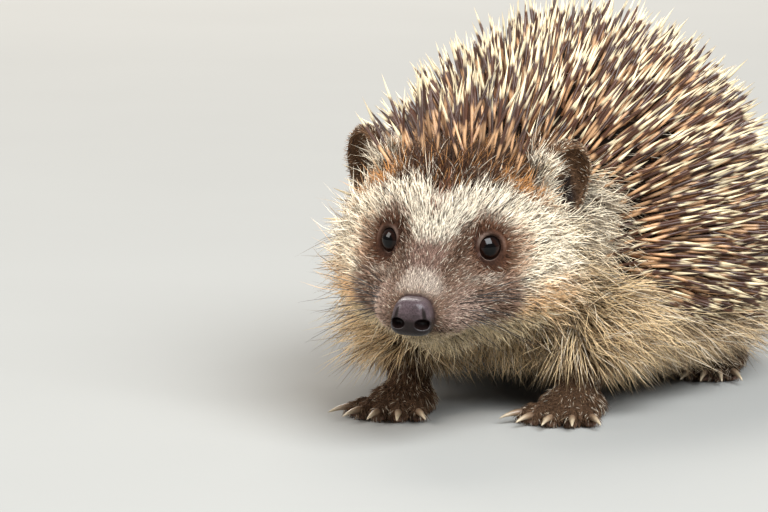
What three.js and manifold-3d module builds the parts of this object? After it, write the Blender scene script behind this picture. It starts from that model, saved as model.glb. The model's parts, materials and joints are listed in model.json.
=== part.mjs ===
// A life-size European hedgehog, standing with one forefoot forward and its head turned a little to its left.
// Millimetres. +Z is up, the animal faces -Y and its left side is +X. The soles stand on z = 0.
// Every shape is the outline that the coat gives the animal, out to the tips of the spines and hairs.
import * as THREE from "three";
import { mergeVertices } from "three/addons/utils/BufferGeometryUtils.js";
import Module from "manifold-3d";

const wasm = await Module();
wasm.setup();

// ---- Driving dimensions ----

const GAP = 0.3; // the thin cut between neighbouring pieces
const V = (x, y, z) => new THREE.Vector3(x, y, z);

// The barrel of the body: a dome that is widest low down, over a belly that hangs clear of the floor.
const BARREL = { centre: V(0, 12, 30), radii: V(57, 71, 71) };
const SHOULDERS = { centre: V(1, -20, 36), radii: V(51, 40, 54) };
const RUFF = { centre: V(1.5, -38, 38), radii: V(49, 27, 37) };
// The underside is level at the belly and climbs to the chest over a stretch that runs forward.
const BELLY = { height: 6.5, chest: 9, from: 48, to: 80 };
const BODY_BLEND = 12;
const HEM_BLEND = 5; // how softly the sides turn under at the hem of the coat

// The head stands at the midpoint between the eyes, and is turned, tipped down and leant from there.
const HEAD_AT = V(10.5, -88, 48);
const HEAD_TURN = THREE.MathUtils.degToRad(16.5);
const HEAD_DIP = THREE.MathUtils.degToRad(2);
const HEAD_LEAN = THREE.MathUtils.degToRad(3);

// Shapes of the head, in its own frame: x to the animal's left, y to the back, z up.
const CRANIUM = { centre: V(0, 23, -1), radii: V(29, 31, 21.5) };
const CROWN = { centre: V(0, 36, 8), radii: V(32, 30, 30) };
const CHEEK = { centre: V(15.5, 14, -10), radii: V(15, 19, 15) };
const THROAT_FRILL = { centre: V(11, 22, -20), radii: V(18, 20, 14) };
const SNOUT = { from: V(0, 4, -4.5), wide: 15.2, to: V(0, -26, -11), narrow: 6.6 };
const WHISKER_PAD = { centre: V(4.8, -19, -12.8), radii: V(6.9, 9.9, 6.2) };
const LIP = { from: V(12, 1, -12.5), wide: 7.6, to: V(6.5, -16, -13), narrow: 5 };
const JAW = { from: V(0, 8, -15), wide: 11, to: V(0, -20, -17.6), narrow: 4.4 };
const HEAD_BLEND = 4;

const EYE = { at: V(11, 1.75, 0.1), radius: 4.2, way: V(0.645, -0.76, 0.06) };
const EYE_HOLLOW = { ahead: 6.2, radius: 5 }; // the dish between the lids, centred out in front of the face
const NOSE = { at: V(0, -32.2, -12.2), wide: 5, long: 4.4, high: 4.75, squareness: 2.8, narrowing: 0.17 };
const NOSTRIL = { at: V(3, -35.4, -13.4), radius: 1.35, depth: 3.2, splay: 0.5, stretch: 1.15 };
const EAR = { at: V(24.2, 31, 13), high: 11.6, wide: 8.4, deep: 5, wall: 2, tilt: 0.1, lean: 0.36, face: 0.75 };
const EAR_SCOOP = { ahead: 3.1, down: 0.6, deep: 5.5 }; // the hollow of the ear, let in from its front

// Where the spines of the back end: high at the neck, falling to a low skirt along the flank.
const SPINE_LINE = { low: 18, rise: 34, neck: -62, fall: 22 };
const MOUTH = { height: -15.6, slope: 0.05 };

// Feet: where each stands, and where the limb leaves the body. A forefoot is short, and a hind foot long.
const FOREFOOT = { sole: V(8.5, 10.5, 5.2), heel: 3.7, toe: 2.6, reach: 7.5, fan: 0.36, claw: 6 };
const HINDFOOT = { sole: V(8, 17, 5.4), heel: 6, toe: 2.6, reach: 8.5, fan: 0.24, claw: 7.5 };
const FORELEG = { foot: FOREFOOT, ankle: 6, top: 10 };
const HINDLEG = { foot: HINDFOOT, ankle: 6.5, top: 12 };
const LIMBS = [
  { name: "foreleg_left", ...FORELEG, stands: V(30, -52, 0), hip: V(30, -38, 24), turn: 0.1 },
  { name: "foreleg_right", ...FORELEG, stands: V(-12, -65, 0), hip: V(-20, -44, 27), turn: 0.06 },
  { name: "hindleg_left", ...HINDLEG, stands: V(31, 36, 0), hip: V(26, 48, 21), turn: 0.28 },
  { name: "hindleg_right", ...HINDLEG, stands: V(-31, 48, 0), hip: V(-24, 54, 21), turn: -0.28 },
];
// Shares of the sole's size: how high its middle is, and where the toes' roots spread over its front.
const SOLE_RISE = 0.72;
const TOE_ROOT = { across: 0.9, forward: 0.15, bow: 0.62, rise: 0.85 };
const TOE_REACH = { outer: 0.75, inner: 0.25, turn: 1.6 }; // the outer toes are shorter than the middle one
const TOES = 5;
const CLAW = { root: 1.15, tip: 0.35, clear: 0.35, start: 0.5, arch: 0.9, bend: 0.7 };
const TAIL = { from: V(0, 64, 22), to: V(0, 85, 14), root: 6.5, tip: 2.8 };

// ---- Fields: negative inside, positive outside, and about the distance in between ----

const ellipsoid = ({ centre, radii }) => (p) => {
  const q = p.clone().sub(centre);
  const near = q.clone().divide(radii).length();
  const steep = q.clone().divide(radii).divide(radii).length();
  return steep > 0 ? (near * (near - 1)) / steep : -Math.min(radii.x, radii.y, radii.z);
};

// A rod whose radius goes from wide at one end to narrow at the other.
const taper = ({ from, wide, to, narrow }) => (p) => {
  const axis = to.clone().sub(from);
  const t = THREE.MathUtils.clamp(p.clone().sub(from).dot(axis) / axis.lengthSq(), 0, 1);
  return p.distanceTo(from.clone().addScaledVector(axis, t)) - THREE.MathUtils.lerp(wide, narrow, t);
};

const mirrored = (field) => (p) => field(V(Math.abs(p.x), p.y, p.z));

const blended = (fields, k) => (p) =>
  fields
    .map((f) => f(p))
    .reduce((a, b) => {
      const h = Math.max(k - Math.abs(a - b), 0) / k;
      return Math.min(a, b) - (h * h * k) / 4;
    });

const grown = (field, by) => (p) => field(p) - by;

const head = new THREE.Object3D();
head.position.copy(HEAD_AT);
head.rotation.set(HEAD_DIP, HEAD_LEAN, HEAD_TURN, "ZXY");
head.updateMatrixWorld();
const intoHead = head.matrixWorld.clone().invert();
const fromHead = (point) => point.clone().applyMatrix4(head.matrixWorld);
const inHead = (field) => (p) => field(p.clone().applyMatrix4(intoHead));

const headField = blended(
  [
    ellipsoid(CRANIUM),
    ellipsoid(CROWN),
    mirrored(ellipsoid(CHEEK)),
    mirrored(ellipsoid(THROAT_FRILL)),
    taper(SNOUT),
    mirrored(ellipsoid(WHISKER_PAD)),
    mirrored(taper(LIP)),
    taper(JAW),
  ],
  HEAD_BLEND,
);

// The underside is cut off by a soft floor.
const underside = (y) => BELLY.height + BELLY.chest * THREE.MathUtils.smoothstep(-y, BELLY.from, BELLY.to);
const overBelly = (field) => (p) => -blended([(q) => -field(q), (q) => q.z - underside(q.y)], HEM_BLEND)(p);
const barrelField = overBelly(blended([ellipsoid(BARREL), ellipsoid(SHOULDERS), ellipsoid(RUFF)], BODY_BLEND));
const bodyField = blended([barrelField, inHead(headField)], BODY_BLEND / 2);

// ---- Solids ----

// A sphere whose points are pushed out from a line inside the shape until they meet the field's surface.
function wrap(field, line, rings, around, reach) {
  const geometry = closed(new THREE.SphereGeometry(1, around, rings));
  const place = geometry.attributes.position;
  for (let i = 0; i < place.count; i++) {
    const unit = new THREE.Vector3().fromBufferAttribute(place, i);
    const share = Math.acos(THREE.MathUtils.clamp(unit.y, -1, 1)) / Math.PI;
    const start = line.getPoint(share);
    const back = line.getTangent(share).negate();
    const side = new THREE.Vector3().crossVectors(back, V(0, 0, 1)).normalize();
    const up = new THREE.Vector3().crossVectors(side, back);
    const slant = unit.y * Math.abs(unit.y);
    const way = V(0, 0, 0)
      .addScaledVector(side, unit.x)
      .addScaledVector(back, slant)
      .addScaledVector(up, unit.z)
      .normalize();
    let inside = 0;
    let outside = reach;
    while (outside - inside > 0.01) {
      const middle = (inside + outside) / 2;
      if (field(start.clone().addScaledVector(way, middle)) < 0) inside = middle;
      else outside = middle;
    }
    start.addScaledVector(way, inside);
    place.setXYZ(i, start.x, start.y, start.z);
  }
  return solid(geometry);
}

// A geometry whose seams are joined, so that each point is there once.
function closed(geometry) {
  const bare = geometry.clone();
  bare.deleteAttribute("normal");
  bare.deleteAttribute("uv");
  return mergeVertices(bare, 1e-4);
}

// A three.js geometry as a manifold solid, and back.
function solid(geometry, matrix = new THREE.Matrix4()) {
  const merged = closed(geometry.clone().applyMatrix4(matrix));
  const numbers = { vertProperties: merged.attributes.position.array, triVerts: new Uint32Array(merged.index.array) };
  return new wasm.Manifold(new wasm.Mesh({ numProp: 3, ...numbers }));
}

function geometryOf(made) {
  const { vertProperties, triVerts } = made.getMesh();
  const geometry = new THREE.BufferGeometry();
  geometry.setAttribute("position", new THREE.BufferAttribute(vertProperties, 3));
  geometry.setIndex(new THREE.BufferAttribute(triVerts, 1));
  return geometry;
}

function ball(centre, radii, around = 16, rings = 10) {
  const matrix = new THREE.Matrix4().makeTranslation(centre).scale(radii);
  return solid(new THREE.SphereGeometry(1, around, rings), matrix);
}

// A half space whose flat side passes through a point, with the kept material on the side that the normal leaves.
const HUGE = 400;
function beyond(point, normal, shift = 0) {
  const turn = new THREE.Quaternion().setFromUnitVectors(V(0, 0, 1), normal.clone().normalize());
  const centre = point.clone().addScaledVector(normal.clone().normalize(), HUGE / 2 + shift);
  const matrix = new THREE.Matrix4().compose(centre, turn, V(1, 1, 1));
  return solid(new THREE.BoxGeometry(HUGE, HUGE, HUGE), matrix);
}

// Both sides of a thin flat cut: first the side that the normal points to.
function parted(whole, point, normal) {
  const far = whole.subtract(beyond(point, normal.clone().negate(), -GAP / 2));
  const near = whole.subtract(beyond(point, normal, -GAP / 2));
  return [far, near];
}

const inHeadFrame = (shape) => solid(geometryOf(shape), head.matrixWorld);
const headway = (x, y, z) => V(x, y, z).transformDirection(head.matrixWorld);

// ---- The body, from one skin parted by thin cuts ----

const BODY_LINE = new THREE.CatmullRomCurve3([
  V(0, 66, 40),
  V(0, 40, 45),
  V(0, 5, 48),
  V(0, -25, 48),
  V(2, -50, 46),
  fromHead(V(0, 12, -4)),
  fromHead(V(0, -8, -8.5)),
  fromHead(V(0, -26, -12)),
]);
const BODY_RINGS = 40;
const BODY_AROUND = 32;
const BODY_REACH = 90;

const whole = wrap(bodyField, BODY_LINE, BODY_RINGS, BODY_AROUND, BODY_REACH);
const cutter = wrap(grown(bodyField, GAP), BODY_LINE, BODY_RINGS, BODY_AROUND, BODY_REACH);

// The region above the line where the back's spines end, as a side view drawn out across the body.
function aboveSpineLine(shift) {
  const outline = new THREE.Shape();
  const ends = { front: -140, back: 160, steps: 36, top: 180, across: 320 };
  outline.moveTo(ends.front, ends.top);
  for (let i = 0; i <= ends.steps; i++) {
    const y = THREE.MathUtils.lerp(ends.front, ends.back, i / ends.steps);
    const rise = SPINE_LINE.rise * Math.exp(-(Math.max(y, -90) - SPINE_LINE.neck) / SPINE_LINE.fall);
    outline.lineTo(y, SPINE_LINE.low + rise + shift);
  }
  outline.lineTo(ends.back, ends.top);
  const drawn = new THREE.ExtrudeGeometry(outline, { depth: ends.across, bevelEnabled: false });
  // The drawing's x, y and depth become the animal's y, z and x.
  const turn = new THREE.Matrix4().makeBasis(V(0, 1, 0), V(0, 0, 1), V(1, 0, 0));
  return solid(drawn, turn.setPosition(-ends.across / 2, 0, 0));
}

const NECK_CUT = { point: V(0, 38, 0), normal: V(0, -1, 0.1) };
const TRUNK_CUT = { point: V(2, -46, 50), normal: V(0.04, -1, 0) };
const SNOUT_CUT = { point: V(0, -7.5, 0), normal: V(0, -1, -0.2) };
const CROWN_CUT = { point: V(0, 8, 15), normal: V(0, 0.3, 1) };

const [headAndNeck, trunk] = parted(whole, TRUNK_CUT.point, TRUNK_CUT.normal);
const [headAll, neck] = parted(headAndNeck, fromHead(NECK_CUT.point), headway(...NECK_CUT.normal));
const [crown, headLow] = parted(headAll, fromHead(CROWN_CUT.point), headway(...CROWN_CUT.normal));
const [snoutAll, face] = parted(headLow, fromHead(SNOUT_CUT.point), headway(...SNOUT_CUT.normal));
const [snout, jaw] = parted(snoutAll, fromHead(V(0, -20, MOUTH.height)), headway(0, MOUTH.slope, 1));

const spinyBack = trunk.intersect(aboveSpineLine(GAP));
const furredTrunk = trunk.subtract(aboveSpineLine(0));
const spinyNape = neck.intersect(aboveSpineLine(GAP));
const throat = neck.subtract(aboveSpineLine(0));

// ---- Nose, eyes and ears, made in the head's frame ----

// A pad with a flat front and lower edge, narrower at the top, and two nostrils let into it.
function nosePad(extra) {
  const field = (p) => {
    const q = p.clone().sub(NOSE.at);
    const narrowing = 1 - NOSE.narrowing * THREE.MathUtils.clamp(q.z / NOSE.high, -1, 1);
    const x = Math.abs(q.x) / (NOSE.wide * narrowing + extra);
    const y = Math.abs(q.y) / (NOSE.long + extra);
    const z = Math.abs(q.z) / (NOSE.high + extra);
    return [x, y, z].reduce((sum, share) => sum + Math.pow(share, NOSE.squareness), -1);
  };
  const middle = new THREE.LineCurve3(NOSE.at.clone().add(V(0, 1.5, 0)), NOSE.at.clone().add(V(0, -1.5, 0)));
  return wrap(field, middle, 10, 16, 12);
}

function nostril(side) {
  const shape = new THREE.CylinderGeometry(NOSTRIL.radius, NOSTRIL.radius * 0.5, NOSTRIL.depth, 8);
  const at = V(side * NOSTRIL.at.x, NOSTRIL.at.y, NOSTRIL.at.z);
  const way = V(side * Math.sin(NOSTRIL.splay), -Math.cos(NOSTRIL.splay), 0);
  const turn = new THREE.Quaternion().setFromUnitVectors(V(0, 1, 0), way);
  return solid(shape, new THREE.Matrix4().compose(at, turn, V(NOSTRIL.stretch, 1, 1)));
}

const nose = inHeadFrame(nosePad(0).subtract(nostril(1)).subtract(nostril(-1)));
const noseSeat = inHeadFrame(nosePad(GAP));

const eyeAt = (side) => V(side * EYE.at.x, EYE.at.y, EYE.at.z);
const eyeball = (side, extra) =>
  inHeadFrame(ball(eyeAt(side), V(1, 1, 1).multiplyScalar(EYE.radius + extra), 12, 8));
// The hollow between the lids: a shallow dish in front of the eye.
const eyeHollow = (side) => {
  const ahead = V(side * EYE.way.x, EYE.way.y, EYE.way.z).multiplyScalar(EYE_HOLLOW.ahead);
  return inHeadFrame(ball(eyeAt(side).add(ahead), V(1, 1, 1).multiplyScalar(EYE_HOLLOW.radius), 10, 8));
};

// A cupped ear is a flattened egg with its front scooped out; its lower end is sunk into the head.
function onSideOfHead(shape, side) {
  const pose = new THREE.Object3D();
  pose.position.set(side * EAR.at.x, EAR.at.y, EAR.at.z);
  pose.rotation.set(EAR.tilt, side * EAR.lean, side * EAR.face, "ZYX");
  pose.updateMatrixWorld();
  return inHeadFrame(solid(geometryOf(shape), pose.matrixWorld));
}

const earEgg = (extra) => ball(V(0, 0, 0), V(EAR.wide, EAR.deep, EAR.high).addScalar(extra), 12, 8);
const scoop = V(EAR.wide - EAR.wall, EAR_SCOOP.deep, EAR.high - EAR.wall);
const earCup = earEgg(0).subtract(ball(V(0, -EAR_SCOOP.ahead, -EAR_SCOOP.down), scoop, 10, 7));
const ear = (side) => onSideOfHead(earCup, side);
const earSeat = onSideOfHead(earEgg(GAP), 1).add(onSideOfHead(earEgg(GAP), -1));

// ---- Limbs ----

const aboveFloor = (shape) => shape.subtract(beyond(V(0, 0, 0), V(0, 0, -1)));

// The toes' fan, counted from the inner toe, in the foot's own frame, where -Y is forward.
const toeAngle = (foot, side, toe) => (toe - (TOES - 1) / 2) * foot.fan * side;
const toeRoot = (foot, side, toe) => {
  const angle = toeAngle(foot, side, toe);
  return V(
    Math.sin(angle) * foot.sole.x * TOE_ROOT.across,
    -foot.sole.y * (TOE_ROOT.forward + TOE_ROOT.bow * Math.cos(angle)),
    foot.toe * TOE_ROOT.rise,
  );
};
const toeTip = (foot, side, toe) => {
  const angle = toeAngle(foot, side, toe);
  const reach = foot.reach * (TOE_REACH.outer + TOE_REACH.inner * Math.cos(angle * TOE_REACH.turn));
  return toeRoot(foot, side, toe).add(V(Math.sin(angle) * reach, -Math.cos(angle) * reach, -0.1));
};

function standing(limb) {
  const matrix = new THREE.Matrix4().makeRotationZ(limb.turn);
  return matrix.setPosition(limb.stands.x, limb.stands.y, 0);
}

function foot(limb, extra) {
  const { foot: size } = limb;
  const side = Math.sign(limb.stands.x);
  let made = ball(V(0, 0, size.sole.z * SOLE_RISE), size.sole.clone().addScalar(extra), 10, 7);
  for (let toe = 0; toe < TOES; toe++) {
    const from = toeRoot(size, side, toe);
    const to = toeTip(size, side, toe);
    const middle = from.clone().lerp(to, 0.5);
    const turn = new THREE.Quaternion().setFromUnitVectors(V(0, 1, 0), to.clone().sub(from).normalize());
    const capsule = new THREE.CapsuleGeometry(size.toe + extra, from.distanceTo(to), 2, 6);
    made = made.add(solid(capsule, new THREE.Matrix4().compose(middle, turn, V(1, 1, 1))));
  }
  return aboveFloor(solid(geometryOf(made), standing(limb)));
}

// A claw is a bent, pointed rod that starts just off the toe's end and drops almost to the floor.
function claw(limb, toe, whatFoot) {
  const side = Math.sign(limb.stands.x);
  const tip = toeTip(limb.foot, side, toe);
  const angle = toeAngle(limb.foot, side, toe);
  const on = (reach, z) => V(tip.x + Math.sin(angle) * reach, tip.y - Math.cos(angle) * reach, z);
  const length = limb.foot.claw;
  const line = new THREE.CatmullRomCurve3([
    on(CLAW.start, tip.z + CLAW.arch),
    on(length / 2, tip.z + CLAW.bend),
    on(length, CLAW.tip + CLAW.clear),
  ]);
  const shape = new THREE.CylinderGeometry(CLAW.root, CLAW.tip, 1, 5, 3);
  const place = shape.attributes.position;
  for (let i = 0; i < place.count; i++) {
    const share = 0.5 - place.getY(i);
    const at = line.getPoint(share);
    const way = line.getTangent(share);
    const across = new THREE.Vector3().crossVectors(way, V(0, 0, 1)).normalize();
    const up = new THREE.Vector3().crossVectors(across, way);
    at.addScaledVector(across, -place.getX(i)).addScaledVector(up, place.getZ(i));
    place.setXYZ(i, at.x, at.y, at.z);
  }
  return solid(shape, standing(limb)).subtract(whatFoot);
}

// The leg is a tapering rod from inside the body down to the foot, which is cut away from it.
function leg(limb, extra) {
  const ankle = V(0, limb.foot.heel, limb.foot.sole.z + limb.ankle / 2).applyMatrix4(standing(limb));
  const rod = { from: limb.hip, wide: limb.top + extra, to: ankle, narrow: limb.ankle + extra };
  return wrap(taper(rod), new THREE.LineCurve3(limb.hip, ankle), 8, 10, 40);
}

const tailRod = { from: TAIL.from, wide: TAIL.root, to: TAIL.to, narrow: TAIL.tip };
const tail = wrap(taper(tailRod), new THREE.LineCurve3(TAIL.from, TAIL.to), 8, 10, 20).subtract(cutter);

// ---- Colours and assembly ----

const paint = (color, roughness) => new THREE.MeshStandardMaterial({ color, roughness, metalness: 0 });
const SPINES = paint(0x8c7458, 0.6);
const PALE_FUR = paint(0xcdbb9c, 0.85);
const FLANK_FUR = paint(0xa88f6c, 0.85);
const MASK_FUR = paint(0x806853, 0.8);
const EAR_SKIN = paint(0x3d2c24, 0.7);
const LEG_FUR = paint(0x75614f, 0.8);
const NOSE_SKIN = paint(0x33262a, 0.3);
const EYE_GLASS = paint(0x0d0806, 0.05);
const HORN = paint(0x8f7d66, 0.45);

const FINEST = 0.24; // detail of the coat's outline smaller than this is smoothed away
const hedgehog = new THREE.Group();
function addNode(name, made, material) {
  const mesh = new THREE.Mesh(geometryOf(made.simplify(FINEST)), material);
  mesh.name = name;
  hedgehog.add(mesh);
}

const sockets = (shape) =>
  [1, -1].reduce((rest, side) => rest.subtract(eyeball(side, GAP)).subtract(eyeHollow(side)), shape);

const pockets = (shape) =>
  LIMBS.reduce((rest, limb) => rest.subtract(leg(limb, GAP)).subtract(foot(limb, GAP)), shape);

addNode("spiny_back", pockets(spinyBack).subtract(earSeat), SPINES);
addNode("spiny_nape", pockets(spinyNape).subtract(earSeat), SPINES);
addNode("spiny_crown", crown.subtract(earSeat), SPINES);
addNode("trunk", pockets(furredTrunk).subtract(earSeat), FLANK_FUR);
addNode("neck", pockets(throat).subtract(earSeat), FLANK_FUR);
addNode("head", pockets(sockets(face)).subtract(earSeat), PALE_FUR);
addNode("snout", sockets(snout).subtract(noseSeat), MASK_FUR);
addNode("lower_jaw", jaw.subtract(noseSeat), PALE_FUR);
addNode("nose", nose, NOSE_SKIN);
addNode("eye_left", eyeball(1, 0), EYE_GLASS);
addNode("eye_right", eyeball(-1, 0), EYE_GLASS);
addNode("ear_left", ear(1), EAR_SKIN);
addNode("ear_right", ear(-1), EAR_SKIN);
addNode("tail", tail, LEG_FUR);
for (const limb of LIMBS) {
  const footName = limb.name.replace("leg", "foot");
  const seat = foot(limb, GAP);
  addNode(limb.name, leg(limb, 0).subtract(seat), LEG_FUR);
  addNode(footName, foot(limb, 0), LEG_FUR);
  for (let toe = 0; toe < TOES; toe++) {
    addNode(`${footName}_claw_${toe + 1}`, claw(limb, toe, seat), HORN);
  }
}

// The soles stay on z = 0, and the middle of the bounding box comes to x = y = 0.
const middle = new THREE.Box3().setFromObject(hedgehog).getCenter(V(0, 0, 0));
hedgehog.position.set(-middle.x, -middle.y, 0);

export default hedgehog;
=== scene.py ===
"""Looks of the life-size hedgehog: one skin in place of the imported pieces, with spines and hair.

Lengths are millimetres in the part's design frame: the animal faces -Y, its left is +X, and its
soles stand on z = 0. The head has a frame of its own at the midpoint between the eyes: x to the
left, y to the back, z up. A name p is for points in the design frame, q for points in the head's,
m for q with its right half mirrored onto the left, and e for points in an ear's.
"""

import json
import math

import bmesh
import bpy
import numpy as np
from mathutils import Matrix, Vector
from mathutils.kdtree import KDTree

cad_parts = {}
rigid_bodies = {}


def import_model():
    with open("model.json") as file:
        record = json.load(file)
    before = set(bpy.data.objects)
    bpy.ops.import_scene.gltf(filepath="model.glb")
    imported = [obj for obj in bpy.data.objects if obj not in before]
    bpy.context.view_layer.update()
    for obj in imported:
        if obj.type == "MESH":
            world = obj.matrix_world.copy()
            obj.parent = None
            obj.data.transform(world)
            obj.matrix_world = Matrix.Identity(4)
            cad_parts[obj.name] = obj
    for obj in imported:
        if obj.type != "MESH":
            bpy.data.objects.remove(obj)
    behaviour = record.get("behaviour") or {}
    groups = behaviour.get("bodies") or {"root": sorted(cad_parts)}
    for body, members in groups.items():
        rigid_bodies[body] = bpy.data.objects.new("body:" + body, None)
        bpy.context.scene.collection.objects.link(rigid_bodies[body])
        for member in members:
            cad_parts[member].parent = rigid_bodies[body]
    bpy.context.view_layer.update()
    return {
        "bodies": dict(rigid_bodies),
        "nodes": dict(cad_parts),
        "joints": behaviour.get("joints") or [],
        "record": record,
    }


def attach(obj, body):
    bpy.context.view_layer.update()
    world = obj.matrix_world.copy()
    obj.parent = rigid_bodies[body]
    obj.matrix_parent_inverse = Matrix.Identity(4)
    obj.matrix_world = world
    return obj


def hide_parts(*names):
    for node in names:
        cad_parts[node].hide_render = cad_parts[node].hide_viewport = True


MM = 0.001
FAR = 60.0  # the distance given where a field isn't worked out
LOWEST = 0.1  # no hair or claw goes lower than this
PATCH = 0.003  # a hair's square on the map of its piece
SEED = 20240611
rng = np.random.default_rng(SEED)

# ---- Turning and placing ----


def turn_matrix(axis, angle):
    """The matrix of a turn round x, y or z, which are 0, 1 and 2."""
    c, s = math.cos(angle), math.sin(angle)
    i, j = [(1, 2), (2, 0), (0, 1)][axis]
    m = np.eye(3)
    m[i, i] = m[j, j] = c
    m[j, i] = s
    m[i, j] = -s
    return m


HEAD_AT = np.array([10.5, -88.0, 48.0])
HEAD_TURN, HEAD_DIP, HEAD_LEAN = np.radians([16.5, 2.0, 3.0])
HEAD = turn_matrix(2, HEAD_TURN) @ turn_matrix(0, HEAD_DIP) @ turn_matrix(1, HEAD_LEAN)


def to_head(p):
    return (p - HEAD_AT) @ HEAD


def from_head(q):
    return np.asarray(q, float) @ HEAD.T + HEAD_AT


def unit(v):
    return v / np.maximum(np.linalg.norm(v, axis=-1, keepdims=True), 1e-9)


def smooth_step(low, high, x):
    t = np.clip((x - low) / (high - low), 0, 1)
    return t * t * (3 - 2 * t)


def mirrored(q):
    return np.stack([np.abs(q[:, 0]), q[:, 1], q[:, 2]], 1)


# ---- Distance fields: negative inside ----


def egg(p, centre, radii):
    """The distance to an egg, which is true near its surface."""
    radii = np.asarray(radii, p.dtype)
    q = (p - np.asarray(centre, p.dtype)) / radii
    near = np.sqrt((q * q).sum(1))
    q /= radii
    steep = np.sqrt((q * q).sum(1))
    return near * (near - 1) / np.maximum(steep, 1e-6)


def rod(p, a, wide, b, narrow):
    """The distance to a rod from a to b, with a radius at each end."""
    a = np.asarray(a, p.dtype)
    axis = np.asarray(b, p.dtype) - a
    q = p - a
    t = np.clip(q @ axis / (axis @ axis), 0, 1)
    q = q - t[:, None] * axis
    return np.sqrt((q * q).sum(1)) - (wide + t * (narrow - wide))


def ring(p, centre, axis, major, minor):
    """The distance to a ring round an axis."""
    q = p - np.asarray(centre, p.dtype)
    along = q @ np.asarray(axis, p.dtype)
    out = np.sqrt(np.maximum((q * q).sum(1) - along * along, 0)) - major
    return np.sqrt(out * out + along * along) - minor


def join(a, b, k):
    """Two fields as one, blended where they differ by less than k."""
    h = np.maximum(k - np.abs(a - b), 0) / k
    return np.minimum(a, b) - h * h * k / 4


def cut(a, b, k):
    """The first field with the second taken out of it."""
    return -join(-a, b, k)


def where_near(p, mask, field):
    """A field worked out only where the mask is true."""
    out = np.full(len(p), FAR, p.dtype)
    if mask.any():
        out[mask] = field(p[mask])
    return out


# ---- The head ----

CRANIUM = ((0, 23, -2), (24, 26, 18.2))
CHEEK = ((12.5, 14.5, -10.5), (12.8, 15.5, 11.5))
SNOUT = ((0, 4, -5.5), 13.0, (0, -26, -11.6), 5.6)
BRIDGE = ((0, -2, 3.0), 7.5, (0, -26, -9.2), 3.5)
WHISKER_PAD = ((4.8, -19.5, -12.6), (6.4, 9.5, 5.8))
LIP = ((6.5, -16, -13.0), 4.6, (12.0, 1.0, -12.5), 7.0)
JAW = ((0, 8, -15.5), 9.5, (0, -20, -17.0), 4.0)
BROW = ((9.5, 4.5, 5.4), (5.8, 5.5, 3.2))
EYE_AT = np.array([11.0, 1.75, 0.1])
EYE_RADIUS = 4.25
CORNEA = 0.12  # the height of its dome over the ball
EYE_WAY = unit(np.array([0.645, -0.76, 0.06]))
GAZE = unit(np.array([0.50, -0.865, 0.02]))
LID_AHEAD = 2.65
LID = (3.84, 0.34)
LID_AT = EYE_AT + EYE_WAY * LID_AHEAD
CANTHUS = LID_AT + np.array([-2.9, -2.45, -1.7])
NOSE_AT = np.array([0.0, -32.2, -12.2])

EAR_AT = np.array([24.2, 31.0, 13.0])
EAR_HALF = np.array([8.1, 4.7, 11.2])
EAR_TILT, EAR_LEAN, EAR_FACE = 0.1, 0.36, 0.75


def ear_turn(side):
    return turn_matrix(2, side * EAR_FACE) @ turn_matrix(1, side * EAR_LEAN) @ turn_matrix(0, EAR_TILT)


def to_ear(q, side):
    return (q - EAR_AT * [side, 1, 1]) @ ear_turn(side)


def face_base(q):
    m = mirrored(q)
    d = join(egg(q, *CRANIUM), egg(m, *CHEEK), 6.0)
    d = join(d, rod(q, *SNOUT), 6.0)
    d = join(d, rod(q, *BRIDGE), 4.0)
    d = join(d, egg(m, *WHISKER_PAD), 3.0)
    d = join(d, rod(m, *LIP), 4.0)
    d = join(d, rod(q, *JAW), 3.5)
    return join(d, egg(m, *BROW), 4.0)


def lips(q):
    """A thin groove between the upper lip and the lower jaw."""
    line = -15.9 + 0.07 * (q[:, 1] + 20)
    slit = np.abs(q[:, 2] - line) - 0.28
    return np.maximum(slit, np.abs(q[:, 1] + 16) - 14)


def ear_field(q, side):
    """The cup of an ear, and the hollow inside it, which also opens the head."""
    e = to_ear(q, side)
    shell = egg(e, (0, 0, 0), EAR_HALF)
    hollow = egg(e, (0, -3.3, -0.2), (6.5, 5.2, 9.6))
    pit = egg(e, (-1.0 * side, -0.5, -5.0), (3.0, 3.6, 4.2))
    fold = rod(e, (2.6 * side, 0.9, -6.5), 0.9, (3.4 * side, 1.4, 3.5), 0.5)
    return cut(shell, hollow, 0.8), join(hollow, pit, 1.5), fold


def lid_field(m):
    return ring(m, LID_AT, EYE_WAY, *LID)


def head_field(p):
    q = to_head(p).astype(p.dtype)
    m = mirrored(q)
    d = face_base(q)
    groove = np.maximum(lips(q), -(d + 1.1))
    d = cut(d, groove, 0.5)
    d = join(d, lid_field(m), 1.4)
    d = cut(d, rod(m, LID_AT + EYE_WAY * 0.6, 0.9, CANTHUS, 0.3), 0.4)
    d = cut(d, egg(m, EYE_AT, [EYE_RADIUS + 0.03] * 3), 0.2)
    d = cut(d, rod(m, LID_AT - EYE_WAY * 0.3, 3.32, LID_AT + EYE_WAY * 5, 4.3), 0.3)
    for side in (1, -1):
        near = (side * q[:, 0] > 8) & (q[:, 1] > 8)
        shell, hollow, fold = [np.full(len(p), FAR, p.dtype) for _ in range(3)]
        if near.any():
            shell[near], hollow[near], fold[near] = ear_field(q[near], side)
        d = join(d, shell, 2.2)
        d = cut(d, hollow, 0.8)
        d = join(d, np.maximum(fold, hollow - 3), 0.8)
    return d


# ---- Trunk and limbs ----

BARREL = ((0, 12, 31), (44, 58, 57))
SHOULDERS = ((1, -20, 36), (38, 32, 41))
NECK = ((2, -42, 42), 27.0, tuple(from_head([0, 20, -2])), 21.0)
BELLY = {"height": 15.0, "chest": 13.0, "from": 36.0, "to": 68.0}
TAIL = ((0, 58, 24), 6.0, (0, 83, 14), 2.2)

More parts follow.
